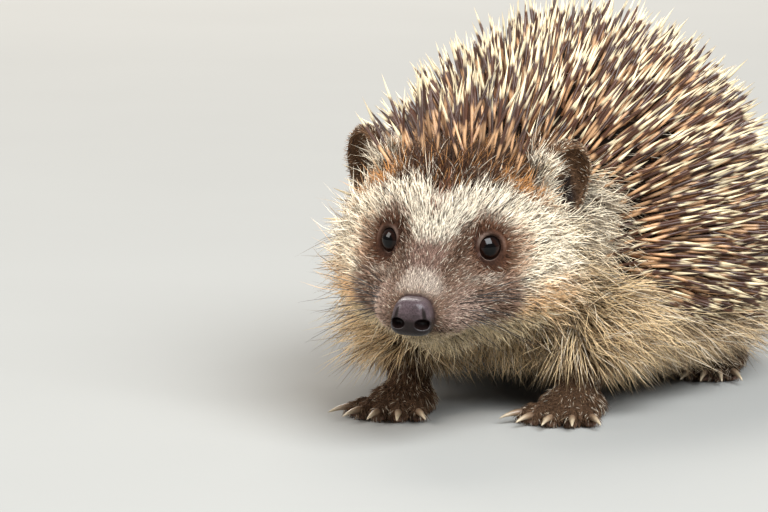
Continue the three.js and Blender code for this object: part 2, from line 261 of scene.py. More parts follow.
FORE = {"ankle": 4.9, "top": 9, "sole": (8.0, 10.0, 4.7), "reach": 7.5, "fan": 0.36, "claw": 6.0}
HIND = {"ankle": 5.4, "top": 11, "sole": (7.5, 16.5, 4.9), "reach": 8.5, "fan": 0.24, "claw": 7.5}
LIMBS = {
    "foreleg_left": {**FORE, "stands": (30, -52), "hip": (30, -38, 26), "turn": 0.1},
    "foreleg_right": {**FORE, "stands": (-12, -65), "hip": (-19, -44, 30), "turn": 0.06},
    "hindleg_left": {**HIND, "stands": (31, 36), "hip": (26, 48, 22), "turn": 0.28},
    "hindleg_right": {**HIND, "stands": (-31, 48), "hip": (-24, 54, 22), "turn": -0.28},
}
TOES = 5
TOE = 2.3
HEEL = 0.35  # the ankle lies this share of the sole's length behind its middle


def to_foot(p, limb):
    """Points in the frame of a foot, whose middle is on the floor."""
    stands = np.array([*limb["stands"], 0.0])
    return (p - stands) @ turn_matrix(2, limb["turn"])


def from_foot(q, limb):
    stands = np.array([*limb["stands"], 0.0])
    return np.asarray(q, float) @ turn_matrix(2, limb["turn"]).T + stands


def toe_line(limb, toe):
    """Root and tip of a toe in the foot's frame, and the way it points."""
    angle = (toe - (TOES - 1) / 2) * limb["fan"] * np.sign(limb["stands"][0])
    way = np.array([math.sin(angle), -math.cos(angle), 0.0])
    wide, long = limb["sole"][:2]
    root = np.array([way[0] * wide * 0.9, -long * (0.15 - 0.62 * way[1]), TOE * 0.85])
    reach = limb["reach"] * (0.75 + 0.25 * math.cos(angle * 1.6))
    return root, root + way * reach, way


def foot_field(q, limb):
    d = egg(q, (0, 0, limb["sole"][2] * 0.72), limb["sole"])
    for toe in range(TOES):
        root, tip, _ = toe_line(limb, toe)
        middle = (root + tip) / 2 + [0, 0, 0.7]
        d = join(d, rod(q, root, TOE * 0.9, middle, TOE * 0.92), 1.2)
        d = join(d, rod(q, middle, TOE * 0.92, tip, TOE * 0.8), 0.8)
    return d


def limb_field(p, limb):
    q = to_foot(p, limb).astype(p.dtype)
    hip = to_foot(np.array(limb["hip"], float), limb)
    long, high = limb["sole"][1:]
    ankle = (0, long * HEEL, high + limb["ankle"] * 0.55)
    d = join(rod(q, hip, limb["top"], ankle, limb["ankle"]), foot_field(q, limb), 3.0)
    return np.maximum(d, 0.04 - q[:, 2])


def belly_height(y):
    return BELLY["height"] + BELLY["chest"] * smooth_step(BELLY["from"], BELLY["to"], -y)


def trunk_field(p):
    d = join(egg(p, *BARREL), egg(p, *SHOULDERS), 12.0)
    d = join(d, rod(p, *NECK), 12.0)
    return cut(d, p[:, 2] - belly_height(p[:, 1]), 9.0)


def flesh(p):
    """The whole animal without its coat."""
    d = trunk_field(p)
    d = join(d, where_near(p, p[:, 1] < -22, head_field), 6.0)
    for limb in LIMBS.values():
        away = np.hypot(p[:, 0] - limb["stands"][0], p[:, 1] - limb["stands"][1])
        near = (away < 34) & (p[:, 2] < 46)
        d = join(d, where_near(p, near, lambda part: limb_field(part, limb)), 3.0)
    return join(d, where_near(p, p[:, 1] > 45, lambda part: rod(part, *TAIL)), 3.0)


def gradient(field, p, step=0.05):
    """The way out of the field at each point."""
    offsets = np.eye(3, dtype=p.dtype) * step
    return unit(np.stack([field(p + o) - field(p - o) for o in offsets], 1))


# ---- Meshing a field ----


def graded(*spans):
    """Grid lines whose spacing changes: (start, stop, spacing) for each stretch."""
    lines = [np.arange(start, stop, step) for start, stop, step in spans]
    return np.concatenate(lines).astype(np.float32)


def sampled(field, xs, ys, zs):
    values = np.empty((len(xs), len(ys), len(zs)), np.float32)
    slab = 16
    for j in range(0, len(ys), slab):
        rows = ys[j : j + slab]
        grid = np.stack(np.meshgrid(xs, rows, zs, indexing="ij"), -1).reshape(-1, 3)
        values[:, j : j + slab] = field(grid).reshape(len(xs), len(rows), len(zs))
    return values


def surface_nets(field, xs, ys, zs):
    """A mesh of a field's surface: four-sided faces, with one point in each cell that it crosses."""
    values = sampled(field, xs, ys, zs)
    inside = values < 0
    cells, number = crossed_cells(inside)
    points = crossing_middles(values, cells, [xs, ys, zs])
    faces = [net_faces(inside, number, axis) for axis in range(3)]
    for _ in range(2):
        points -= gradient(field, points) * np.clip(field(points), -0.3, 0.3)[:, None]
    return points, np.concatenate(faces)


def crossed_cells(inside):
    """The cells that the surface crosses, and the grid of their numbers."""
    count = np.zeros(np.array(inside.shape) - 1, np.int8)
    for corner in np.ndindex(2, 2, 2):
        part = tuple(slice(c, n - 1 + c) for c, n in zip(corner, inside.shape))
        count += inside[part]
    cells = np.argwhere((count > 0) & (count < 8))
    number = np.full(count.shape, -1, np.int64)
    number[tuple(cells.T)] = np.arange(len(cells))
    return cells, number


def crossing_middles(values, cells, lines):
    """The middle of the places where the surface crosses each cell's edges."""
    total = np.zeros((len(cells), 3))
    hits = np.zeros(len(cells))
    for axis in range(3):
        for corner in np.ndindex(2, 2):
            low = cells.copy()
            low[:, [a for a in range(3) if a != axis]] += corner
            high = low.copy()
            high[:, axis] += 1
            a, b = values[tuple(low.T)], values[tuple(high.T)]
            crossed = (a < 0) != (b < 0)
            t = np.where(crossed, a / np.where(crossed, a - b, 1), 0)
            start = np.stack([lines[k][low[:, k]] for k in range(3)], 1)
            stop = np.stack([lines[k][high[:, k]] for k in range(3)], 1)
            total += np.where(crossed[:, None], start + t[:, None] * (stop - start), 0)
            hits += crossed
    return (total / hits[:, None]).astype(np.float32)


def net_faces(inside, number, axis):
    low = np.moveaxis(inside, axis, 0)[:-1, 1:-1, 1:-1]
    high = np.moveaxis(inside, axis, 0)[1:, 1:-1, 1:-1]
    around = np.moveaxis(number, axis, 0)
    quads = []
    for crossing, order in ((low & ~high, 1), (~low & high, -1)):
        i, j, k = np.nonzero(crossing)
        corners = [(0, 0), (1, 0), (1, 1), (0, 1)][::order]
        quad = np.stack([around[i, j + dj, k + dk] for dj, dk in corners], 1)
        quads.append(quad if axis != 1 else quad[:, ::-1])
    return np.concatenate(quads)


# ---- Blender objects ----

SHIFT = np.zeros(3)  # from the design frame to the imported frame, filled in by main


def put_vertices(mesh, points):
    mesh.vertices.foreach_set("co", ((points + SHIFT) * MM).astype(np.float32).ravel())


def new_mesh(name, points, faces, corners):
    """A mesh from points in the design frame and faces that all have the same number of corners."""
    mesh = bpy.data.meshes.new(name)
    mesh.vertices.add(len(points))
    put_vertices(mesh, points)
    mesh.loops.add(len(faces) * corners)
    mesh.loops.foreach_set("vertex_index", faces.astype(np.int32).ravel())
    mesh.polygons.add(len(faces))
    mesh.polygons.foreach_set("loop_start", np.arange(0, len(faces) * corners, corners, dtype=np.int32))
    mesh.polygons.foreach_set("use_smooth", np.ones(len(faces), bool))
    mesh.update()
    mesh.validate()
    return mesh


def put_number(mesh, name, values):
    mesh.attributes.new(name, "FLOAT", "POINT").data.foreach_set("value", values.astype(np.float32))


def put_colour(mesh, name, rgb):
    rgba = np.concatenate([rgb, np.ones((len(rgb), 1))], 1).astype(np.float32)
    mesh.attributes.new(name, "FLOAT_COLOR", "POINT").data.foreach_set("color", rgba.ravel())


def add_piece(mesh, material, replaces=()):
    """Puts a mesh in the scene, riding on the one body."""
    piece = bpy.data.objects.new(mesh.name, mesh)
    bpy.context.scene.collection.objects.link(piece)
    mesh.materials.append(material)
    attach(piece, "root")
    if replaces:
        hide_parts(*replaces)


def strand_mesh(name, roots, ways, bends, lengths, radii, shape, sides, places, patch=PATCH):
    """Closed tapering strands; shape lists shares of the length and the radius from root to tip."""
    points, along = strand_points(roots, ways, bends, lengths, radii, shape, sides)
    faces, spots = strand_faces(len(shape), sides)
    count, per_strand = along.shape
    all_faces = (faces[None] + np.arange(count)[:, None, None] * per_strand).reshape(-1, 3)
    mesh = new_mesh(name, points.reshape(-1, 3), all_faces, 3)
    put_number(mesh, "along", along.ravel())
    layer = mesh.uv_layers.new(name="OFBake")
    corners = (places[:, None, None] + (spots[None] - 0.5) * patch).reshape(-1, 2)
    layer.data.foreach_set("uv", corners.astype(np.float32).ravel())
    return mesh, per_strand


def strand_points(roots, ways, bends, lengths, radii, shape, sides):
    """Rings of points along each strand and one at its tip, and how far along each point is."""
    count, steps = len(roots), len(shape)
    across = unit(np.cross(ways, rng.normal(size=ways.shape)))
    upright = np.cross(ways, across)
    turn = np.arange(sides) * 2 * math.pi / sides
    points = np.empty((count, (steps - 1) * sides + 1, 3))
    along = np.empty((count, (steps - 1) * sides + 1))
    for i, (share, thick) in enumerate(shape):
        middle = roots + lengths[:, None] * (ways * share + bends * share * share)
        if i == steps - 1:
            points[:, -1] = middle
            along[:, -1] = share
            break
        for j in range(sides):
            out = across * math.cos(turn[j]) + upright * math.sin(turn[j])
            points[:, i * sides + j] = middle + out * (radii * thick)[:, None]
            along[:, i * sides + j] = share
    points[..., 2] = np.maximum(points[..., 2], LOWEST)
    return points, along


def strand_faces(steps, sides):
    """Triangles of one strand, and where their corners lie on the strand's own square of the map."""
    faces, spots = [], []
    tip = (steps - 1) * sides
    for i in range(steps - 1):
        low, high = i / steps, (i + 1) / steps
        for j in range(sides):
            a, b = i * sides + j, i * sides + (j + 1) % sides
            u, v = j / sides, (j + 1) / sides
            if i == steps - 2:
                faces.append((a, b, tip))
                spots.append(((u, low), (v, low), ((u + v) / 2, 1.0)))
                continue
            faces += [(a, b, b + sides), (a, b + sides, a + sides)]
            spots += [((u, low), (v, low), (v, high)), ((u, low), (v, high), (u, high))]
    for j in range(1, sides - 1):
        faces.append((0, j + 1, j))
        spots.append(((0.0, 0.0), (j / sides, 0.04), ((j - 1) / sides, 0.04)))
    return np.array(faces), np.array(spots)


# ---- Colours of the coat ----


def linear(*rgb):
    """A colour as the shaders use it, from sRGB values up to 255."""
    c = np.array(rgb) / 255.0
    return np.where(c <= 0.04045, c / 12.92, ((c + 0.055) / 1.055) ** 2.4)


PELT = {
    "flank": linear(202, 174, 136),
    "belly": linear(190, 168, 138),
    "neck": linear(224, 194, 150),
    "cheek": linear(255, 240, 214),
    "tan": linear(228, 180, 126),
    "forehead": linear(238, 223, 200),
    "parting": linear(138, 82, 56),
    "muzzle": linear(150, 118, 98),
    "bridge": linear(150, 118, 104),
    "pad": linear(222, 190, 172),
    "blaze": linear(222, 202, 184),
    "mask": linear(122, 80, 56),
    "stripe": linear(168, 116, 78),
    "streak": linear(96, 68, 50),
    "eye_spot": linear(222, 204, 184),
    "border": linear(66, 38, 20),
    "rust": linear(192, 134, 78),
    "chin": linear(220, 198, 160),
    "ear": linear(98, 70, 50),
    "ear_rim": linear(150, 112, 82),
    # painted shade in the ears' hollows
    "ear_pit_shade": linear(34, 20, 12),
    "limb": linear(98, 72, 52),
    "spiny_skin": linear(70, 49, 34),
    "lid": linear(190, 168, 154),
    "round_eye": linear(78, 51, 40),
    "lid_edge": linear(36, 23, 18),
    "canthus": linear(178, 146, 136),
    "lips": linear(70, 50, 46),
    "nose_edge": linear(58, 42, 38),
    "sole": linear(150, 118, 104),
    "dark_hair": linear(66, 44, 28),
}


def blend(base, colour, weight):
    return base + (PELT[colour] - base) * np.clip(weight, 0, 1)[:, None]


def spot(q, centre, radii, soft=0.25):
    """1 in an egg-shaped patch, fading to 0 over its edge."""
    near = np.linalg.norm((q - np.array(centre, float)) / np.array(radii, float), axis=1)
    return smooth_step(1 + soft, 1 - soft, near)


def band(q, a, b, radius, soft=1.0):
    """1 in a patch along the line from a to b, fading to 0 over its edge."""
    return smooth_step(soft, -soft, rod(q, a, radius, b, radius))


# The pale patch over the eyes: its lower and upper edges, and its least height, each against the
# distance from the middle of the face.
PALE_LOW = ([0, 3, 5, 6.5, 10, 14, 16, 18.3, 22], [-15.5, -14, -10, -5.5, -1, 1.5, 3.5, 9.0, 14])
PALE_HIGH = ([0, 2, 4, 7, 10.6, 15, 19, 24], [-2.0, -0.5, 2.5, 3.8, 5.3, 8.0, 13.0, 18.0])
PALE_FLOOR = ([0, 8, 13, 22], [0.0, 2.6, 4.6, 5.0])


def pale_brow(q):
    """1 on the pale patch over the eyes."""
    out = np.abs(q[:, 0])
    low, high, floor = (np.interp(out, *edge) for edge in (PALE_LOW, PALE_HIGH, PALE_FLOOR))
    inside = smooth_step(-1.2, 1.2, q[:, 1] - low) * smooth_step(1.5, -1.0, q[:, 1] - high)
    return inside * smooth_step(-1.0, 1.2, q[:, 2] - floor)


def dark_crown(q):
    """1 on the dark hair behind the pale patch, up to the foremost spines."""
    out = np.abs(q[:, 0])
    behind = q[:, 1] - np.interp(out, *PALE_HIGH)
    return smooth_step(-0.5, 1.5, behind) * smooth_step(7, 10, q[:, 2]) * smooth_step(21, 17, out)


def spine_line(y):
    """The height of the spines' lower edge: low along the flank, and rising round the shoulder."""
    return 21 + 36 * np.exp(-(np.maximum(y, -58) + 58) / 18)


def ear_distance(q, side):
    return egg(to_ear(q, side), (0, 0, 0), EAR_HALF)


def nearest_ear(q):
    return np.minimum(ear_distance(q, 1), ear_distance(q, -1))


# Furry patches round each ear, behind it and in front of it.
BARE_OF_SPINES = [((26.0, 38.0, 1.0), (9.0, 11.0, 12.0)), ((21.5, 22.0, 9.0), (6.5, 9.0, 11.0))]


def spiny(p):
    """How far inside the spiny part of the skin a point is, in millimetres."""
    q = to_head(p)
    behind_brow = q[:, 1] - np.interp(np.abs(q[:, 0]), *PALE_HIGH) - 9.5
    from_ears = nearest_ear(q) - 1.5
    from_tail = rod(p, *TAIL) - 1.5
    edges = [p[:, 2] - spine_line(p[:, 1]), behind_brow, from_ears, from_tail]
    edges += [egg(mirrored(q), *patch) for patch in BARE_OF_SPINES]
    return np.minimum.reduce(edges)


def limb_weight(p):
    """1 on the lower legs and feet."""
    near = np.zeros(len(p))
    for limb in LIMBS.values():
        q = to_foot(p, limb)
        hip = to_foot(np.array(limb["hip"], float), limb)
        long, high = limb["sole"][1:]
        leg = rod(q, hip, limb["top"], (0, long * HEEL, high + 2.5), limb["ankle"])
        reach = np.minimum(leg, foot_field(q, limb))
        near = np.maximum(near, smooth_step(3.0, 0.8, reach) * smooth_step(20, 13, p[:, 2]))
    return near


def mottle(q):
    """Soft patches, from 0 to 1."""
    return 0.5 + 0.5 * np.sin(1.7 * q[:, 0] + 1.1 * q[:, 2] + 0.8) * np.sin(1.2 * q[:, 1] - 0.9 * q[:, 2])


def coat_layers(p, q, m):
    """Patches of colour, each over the ones before it, with its weight at each point."""
    return [
        ("belly", smooth_step(20, 14, p[:, 2])),
        ("neck", smooth_step(60, 36, q[:, 1])),
        ("cheek", smooth_step(34, 24, q[:, 1]) * smooth_step(-22, -12, q[:, 2])),
        ("tan", 0.85 * spot(m, (21, 14, -15), (12, 15, 6.5), 0.4)),
        ("chin", smooth_step(24, 14, q[:, 1]) * smooth_step(-14, -19, q[:, 2])),
        ("border", dark_crown(q)),
        ("cheek", np.maximum(ear_hair(m), 0.8 * behind_ear(m))),
        ("rust", 0.9 * band(m, (14.0, 11.5, 12.5), (19.6, 17.0, 8.5), 3.0)),
        ("muzzle", smooth_step(2.0, -1.5, q[:, 1] - 0.5) * smooth_step(-18.5, -16, q[:, 2])),
        ("bridge", 0.8 * spot(q, (0, -19, -0.5), (5.5, 7, 5))),
        ("pad", 0.8 * spot(m, (8.5, -18, -13), (6.5, 10, 5.0), 0.35)),
        ("forehead", pale_brow(q)),
        ("parting", 0.85 * band(q, (-0.5, -8, 7), (-0.5, 3, 14), 0.9, 0.6)),
        ("stripe", 0.75 * spot(m, (18.0, 3.0, -1.5), (2.6, 4.4, 7.4), 0.4)),
        ("mask", spot(m, (12.6, -1.2, 0.4), (7.6, 7.0, 7.0))),
        ("streak", 0.9 * band(m, (7.6, -6.0, 3.6), (7.0, -11.0, 0.0), 2.2)),
        ("streak", 0.7 * band(m, (7.0, -11.0, 0.0), (4.6, -20.0, -3.0), 1.7)),
        # Painted shadow: a thin dark streak along the side of the muzzle, where the whiskers' shadows
        # fall.
        ("streak", 0.5 * band(m, (8.6, -25.0, -9.4), (14.5, -8.0, -9.4), 0.8)),
        ("eye_spot", 0.85 * band(m, (9.4, -12.5, -6.1), (15.4, -3.1, -7.0), 0.9, 0.9)),
        ("round_eye", 0.92 * spot(m, LID_AT + [-0.6, -0.6, 0], (5.3, 5.3, 5.0), 0.35)),
        ("blaze", 0.9 * spot(q, (0, -25.8, -5.3), (6.2, 4.4, 4.0), 0.4)),
        ("rust", 0.5 * band(m, (20.5, 17.0, 6.0), (23.5, 19.5, 0.0), 1.8)),
    ]


def with_ears(c, q):
    for side in (1, -1):
        near = ear_distance(q, side)
        hollow = ear_field(q, side)[1]
        c = blend(c, "ear", smooth_step(1.2, 0.6, near))
        c = blend(c, "ear_rim", smooth_step(1.2, 0.6, near) * smooth_step(2.2, 0.6, hollow))
        # Painted shade: the deep hollow of each ear is painted near-black.
        c = blend(c, "ear_pit_shade", smooth_step(0.8, -0.6, hollow) * smooth_step(2.5, 0.5, near))
    return c


def markings(p):
    """The colour of the coat, which the skin under it shares."""
    q = to_head(p)
    m = mirrored(q)
    c = np.tile(PELT["flank"], (len(p), 1))
    for colour, weight in coat_layers(p, q, m):
        c = blend(c, colour, weight)
    c = c * (1 - 0.34 * smooth_step(3.0, -1.5, q[:, 1]) * mottle(q))[:, None]
    c = blend(with_ears(c, q), "cheek", 0.9 * ear_edge(m))
    c = blend(c, "spiny_skin", smooth_step(0, 4, spiny(p)))
    return blend(c, "limb", limb_weight(p))


# ---- Where the coat grows ----


def area_samples(points, faces, per_mm2):
    """Random points spread evenly over four-sided faces."""
    a, b, c, d = (points[faces[:, k]] for k in range(4))
    triangles = np.concatenate([np.stack([a, b, c], 1), np.stack([a, c, d], 1)])
    edge1, edge2 = triangles[:, 1] - triangles[:, 0], triangles[:, 2] - triangles[:, 0]
    area = np.linalg.norm(np.cross(edge1, edge2), axis=1) / 2
    count = int(area.sum() * per_mm2)
    pick = rng.choice(len(area), count, p=area / area.sum())
    r1, r2 = rng.random((2, count))
    fold = r1 + r2 > 1
    r1, r2 = np.where(fold, 1 - r1, r1), np.where(fold, 1 - r2, r2)
    return triangles[pick, 0] + edge1[pick] * r1[:, None] + edge2[pick] * r2[:, None]


def search_tree(points):
    tree = KDTree(len(points))
    for i, point in enumerate(points):
        tree.insert(point, i)
    tree.balance()
    return tree


def spaced_out(points, spacing):
    """Leaves out each point that has an earlier one within the spacing."""
    cell = np.floor(points / (spacing * 0.5)).astype(np.int64)
    _, first = np.unique(cell, axis=0, return_index=True)
    points = points[np.sort(first)]
    tree = search_tree(points)
    kept = np.ones(len(points), bool)
    for i, point in enumerate(points):
        if kept[i]:
            for _, j, _ in tree.find_range(point, spacing):
                kept[j] &= j <= i
    return points[kept]


BODY_LINE = ([-125, -88, -50, 90], [19, 10.5, 2, 0])  # the x of the body's middle against y
BODY_HEIGHT = 38
BODY_LENGTH = 215


def unwrapped(p):
    """The skin laid flat: the angle round the body, and the way along it."""
    angle = np.arctan2(p[:, 0] - np.interp(p[:, 1], *BODY_LINE), p[:, 2] - BODY_HEIGHT)
    return np.stack([angle / (2 * math.pi), p[:, 1] / BODY_LENGTH], 1)


def fitted(places):
    """Places on a map, moved and stretched to fill it."""
    low, high = places.min(0), places.max(0)
    return 0.004 + 0.992 * (places - low) / np.maximum(high - low, 1e-6)


def tangent(v, normals):
    """What is left of v along the skin."""
    return v - normals * (v * normals).sum(1, keepdims=True)


NOSE_TIP = from_head([0, -36, -14])
FAN_AT = np.array([10.0, -66.0, 44.0])  # the hair and the spines of the body point away from here
RUFF_WAY = np.array([0.9, 0.0, 0.0])
EAR_HAIR_WAY = np.array([0.9, -0.4, 0.9])


def hair_way(p, normals):
    """The lie of the hair: back from the nose, round the eyes, and down and back over the flanks."""
    q = to_head(p)
    m = mirrored(q)
    side = np.sign(q[:, :1]) * [1, 0, 0] + [0, 1, 1]
    from_nose = unit(p - NOSE_TIP)
    from_eye = unit((m - LID_AT) * side) @ HEAD.T
    near_eye = smooth_step(8.5, 4.5, np.linalg.norm(m - LID_AT, axis=1))[:, None]
    down_back = unit(unit(p - FAN_AT) + np.array([0.0, 0.35, -0.8]))
    on_body = smooth_step(22, 44, q[:, 1])[:, None]
    limb = limb_weight(p)[:, None]
    way = unit(from_nose + 1.3 * near_eye * from_eye) * (1 - on_body) + down_back * on_body
    by_ear = np.maximum(ear_hair(m), ear_edge(m))[:, None]
    outward = (RUFF_WAY * side) @ HEAD.T * ruff(m)[:, None]
    way = way + outward + (EAR_HAIR_WAY * side) @ HEAD.T * by_ear
    way = way * (1 - limb) + np.array([0.0, -0.25, -1.0]) * limb
    return unit(tangent(way, normals))


def ruff(m):
    """1 on the long hair behind the cheeks."""
    return spot(m, (25, 24, -6), (10, 12, 15), 0.4)


def behind_ear(m):
    """1 on the pale hair behind and below the ears."""
    return spot(m, (30, 37, 4), (6, 8, 12), 0.4)


def ear_edge(m):
    """1 on the edge of the ear that is nearest to the forehead."""
    e = to_ear(m, 1)
    near = egg(e, (0, 0, 0), EAR_HALF)
    return smooth_step(1.2, 0.6, near) * smooth_step(-0.5, -4.0, e[:, 0]) * smooth_step(4.5, 0.5, e[:, 2])


def ear_hair(m):
    """1 on the long hair in front of the ears."""
    return spot(m, (22.3, 20.8, 6.0), (3.8, 5.1, 6.3), 0.3)


# The length of hair against the distance from the nose.
HAIR_LENGTH = ([0, 8, 16, 26, 34, 42, 52, 64, 82, 110], [1.1, 1.4, 2.0, 2.6, 3.2, 4.6, 7.4, 13, 19, 22])
ON_EAR = 1.0  # skin nearer to an ear than this is the ear's own
UNDERSIDE = 18.0  # skin lower than this is under the belly or on a leg


def toward(value, goal, weight):
    return value + (goal - value) * weight


def hair_length(p):
    q = to_head(p)
    m = mirrored(q)
    length = np.interp(np.linalg.norm(p - NOSE_TIP, axis=1), *HAIR_LENGTH)
    length = toward(length, 3.6 + 4.0 * smooth_step(-12, -2, q[:, 1]), pale_brow(q))
    length = toward(length, 8.5, spot(m, (6, 14, 15), (18, 13, 8)))
    length = toward(length, 2.3, spot(m, (12.8, -1.2, 0.4), (7.6, 7.0, 7.0)))
    length = toward(length, 9.0, spot(q, (0, 6, -24), (16, 14, 8), 0.4))
    length = length + (9.0 + 8.0 * (q[:, 0] < 0) - length) * 0.8 * ruff(m)
    length = toward(length, 10.5, np.maximum(ear_hair(m), behind_ear(m)))
    inward = np.minimum(length, 9 + 1.3 * np.abs(p[:, 0]))
    length = np.where(p[:, 2] < UNDERSIDE, inward, length)
    length = toward(length, 2.6, limb_weight(p))
    length = np.where(rod(p, *TAIL) < 2.0, 3.5, length)
    length = np.where(spiny(p) > 1.0, np.minimum(length, 10.0), length)
    length = np.where(nearest_ear(q) < ON_EAR, 1.9, length)
    return toward(length, 8.5, ear_edge(m))


def hair_density(p):
    """Hairs to the square millimetre."""
    q = to_head(p)
    m = mirrored(q)
    density = np.interp(hair_length(p), [0.8, 2, 4, 8, 14, 28], [8.5, 8.5, 6.5, 4.6, 3.7, 3.0])
    density = np.where(spiny(p) > 0.5, 0.12 + 1.5 * smooth_step(38, 24, q[:, 1]), density)
    density = density * (1 - 0.5 * limb_weight(p))
    hidden = (p[:, 2] < UNDERSIDE) & (np.abs(p[:, 0]) < 30) & (p[:, 1] > -50)
    density = np.where(hidden, 0.6, density)
    density = np.where(np.linalg.norm(m - LID_AT, axis=1) < 4.1, 0.0, density)
    density = np.where(nose_field(q) < 0.1, 0.0, density)
    density = np.where(p[:, 2] < 1.3, 0.0, density)
    for side in (1, -1):
        hollow = ear_field(q, side)[1]
        inside = (hollow < 0.3) & (ear_distance(q, side) < 2)
        density = np.where(inside, 2.0, density)
    return density


# ---- Nose, eyes and claws ----

NOSTRIL = ((3.15, -3.9, -1.3), (1.9, 2.8, 1.3))
NOSTRIL_SLIT = ((3.9, -3.8, -1.0), 0.55, (3.3, -3.9, 2.8), 0.34)
PHILTRUM = ((0, -4.95, 0.8), 0.22, (0, -4.6, -5.5), 0.4)
NOSE_CREASE = ((0, -4.75, 0.3), 0.3, (3.0, -4.5, 0.5), 0.3)
PAD_HALF = (4.95, 4.4, 4.7)
PAD_POWER = 3.1  # 2 would make the pad an egg, and more makes it squarer
PAD_REACH = 6.6  # the grid goes this far from the pad's middle
PAD_STEP = 0.19


def nose_field(q):
    c = q - NOSE_AT.astype(q.dtype)
    m = mirrored(c)
    wide, long, high = PAD_HALF
    narrowing = 1 - 0.17 * np.clip(c[:, 2] / 5, -1, 1)
    half = np.stack([wide * narrowing, np.full(len(c), long), np.full(len(c), high)], 1)
    s = (np.abs(c / half) ** PAD_POWER).sum(1)
    d = (s ** (1 / PAD_POWER) - 1) * 4.6
    d = cut(d, egg(m, *NOSTRIL), 0.5)
    d = cut(d, rod(m, *NOSTRIL_SLIT), 0.35)
    d = cut(d, rod(m, *NOSE_CREASE), 0.7)
    return cut(d, rod(c, *PHILTRUM), 0.6).astype(q.dtype)


def nose_painted_shade(c):
    """Painted shade on the nose: 1 on its lower half, which is painted darker, and in its slits and
    nostrils, which are painted dark.
    """
    m = mirrored(c)
    low = smooth_step(1.4, -1.2, c[:, 2])
    hollow = smooth_step(0.35, -0.05, np.minimum(egg(m, *NOSTRIL), rod(m, *NOSTRIL_SLIT)))
    return np.maximum.reduce([0.94 * low, hollow, smooth_step(0.3, 0.0, rod(c, *PHILTRUM))])


def build_nose():
    low, high = NOSE_AT - PAD_REACH, NOSE_AT + PAD_REACH
    lines = [np.arange(a, b, PAD_STEP).astype(np.float32) for a, b in zip(low, high)]
    points, faces = surface_nets(nose_field, *lines)
    mesh = new_mesh("nose_pad", from_head(points), faces, 4)
    # The nose's painted shade: its lower half, its slits and its nostrils.
    put_number(mesh, "painted_shade", nose_painted_shade(points - NOSE_AT))
    add_piece(mesh, nose_material(), ["nose"])


def build_eye(side):
    """A ball whose poles lie on the eye's axis, with a low dome for the cornea."""
    rings, around = 40, 48
    tilt = np.repeat(np.linspace(0, math.pi, rings + 1)[1:-1], around)
    turn = np.tile(np.arange(around) * 2 * math.pi / around, rings - 1)
    ball = np.stack([np.sin(tilt) * np.cos(turn), np.sin(tilt) * np.sin(turn), np.cos(tilt)], 1)
    ball = np.concatenate([ball, [[0, 0, 1], [0, 0, -1]]])
    tilt = np.concatenate([tilt, [0, math.pi]])
    radius = EYE_RADIUS + CORNEA * smooth_step(0.95, 0.3, tilt)
    way = GAZE * [side, 1, 1]
    across = unit(np.cross([0, 0, 1], way))
    frame = np.stack([across, np.cross(way, across), way])
    points = (ball * radius[:, None]) @ frame + EYE_AT * [side, 1, 1]
    hand = "left" if side > 0 else "right"
    mesh = new_mesh(f"eyeball_{hand}", from_head(points), ball_faces(rings, around), 3)
    put_number(mesh, "off_axis", tilt)
    add_piece(mesh, eye_material(), [f"eye_{hand}"])


def ball_faces(rings, around):
    faces = []
    top, bottom = (rings - 1) * around, (rings - 1) * around + 1
    last = (rings - 2) * around
    for j in range(around):
        k = (j + 1) % around
        faces += [(top, j, k), (bottom, last + k, last + j)]
        for i in range(rings - 2):
            a, b = i * around + j, i * around + k
            c, d = b + around, a + around
            faces += [(a, c, b), (a, d, c)]
    return np.array(faces)


CLAW_SHAPE = [(0, 0.8), (0.12, 1), (0.3, 0.9), (0.5, 0.72), (0.7, 0.5), (0.88, 0.28), (1, 0)]
CLAW_RADIUS = 0.95
CLAW_SIDES = 10
CLAW_ROOT = 1.2  # how much of a claw is inside the toe
CLAW_BEND = np.array([0.0, 0.0, -0.27])
CLAW_PATCH = np.array([0.17, 0.9])


def build_claws(name, limb):
    roots, ways = [], []
    for toe in range(TOES):
        _, tip, way = toe_line(limb, toe)
        roots.append(from_foot(tip + way * 0.2 + [0, 0, 0.75], limb))
        ways.append(unit(from_foot(tip + way + [0, 0, 0.12], limb) - from_foot(tip, limb)))
    sizes = [np.full(TOES, size) for size in (limb["claw"] + CLAW_ROOT, CLAW_RADIUS)]
    claws = [np.array(roots), np.array(ways), np.tile(CLAW_BEND, (TOES, 1)), *sizes]
    places = np.stack([0.1 + 0.2 * np.arange(TOES), np.full(TOES, 0.5)], 1)
    mesh, _ = strand_mesh(f"claws_{name}", *claws, CLAW_SHAPE, CLAW_SIDES, places, CLAW_PATCH)
    add_piece(mesh, claw_material(), [f"{name}_claw_{k + 1}" for k in range(TOES)])


# ---- Materials ----


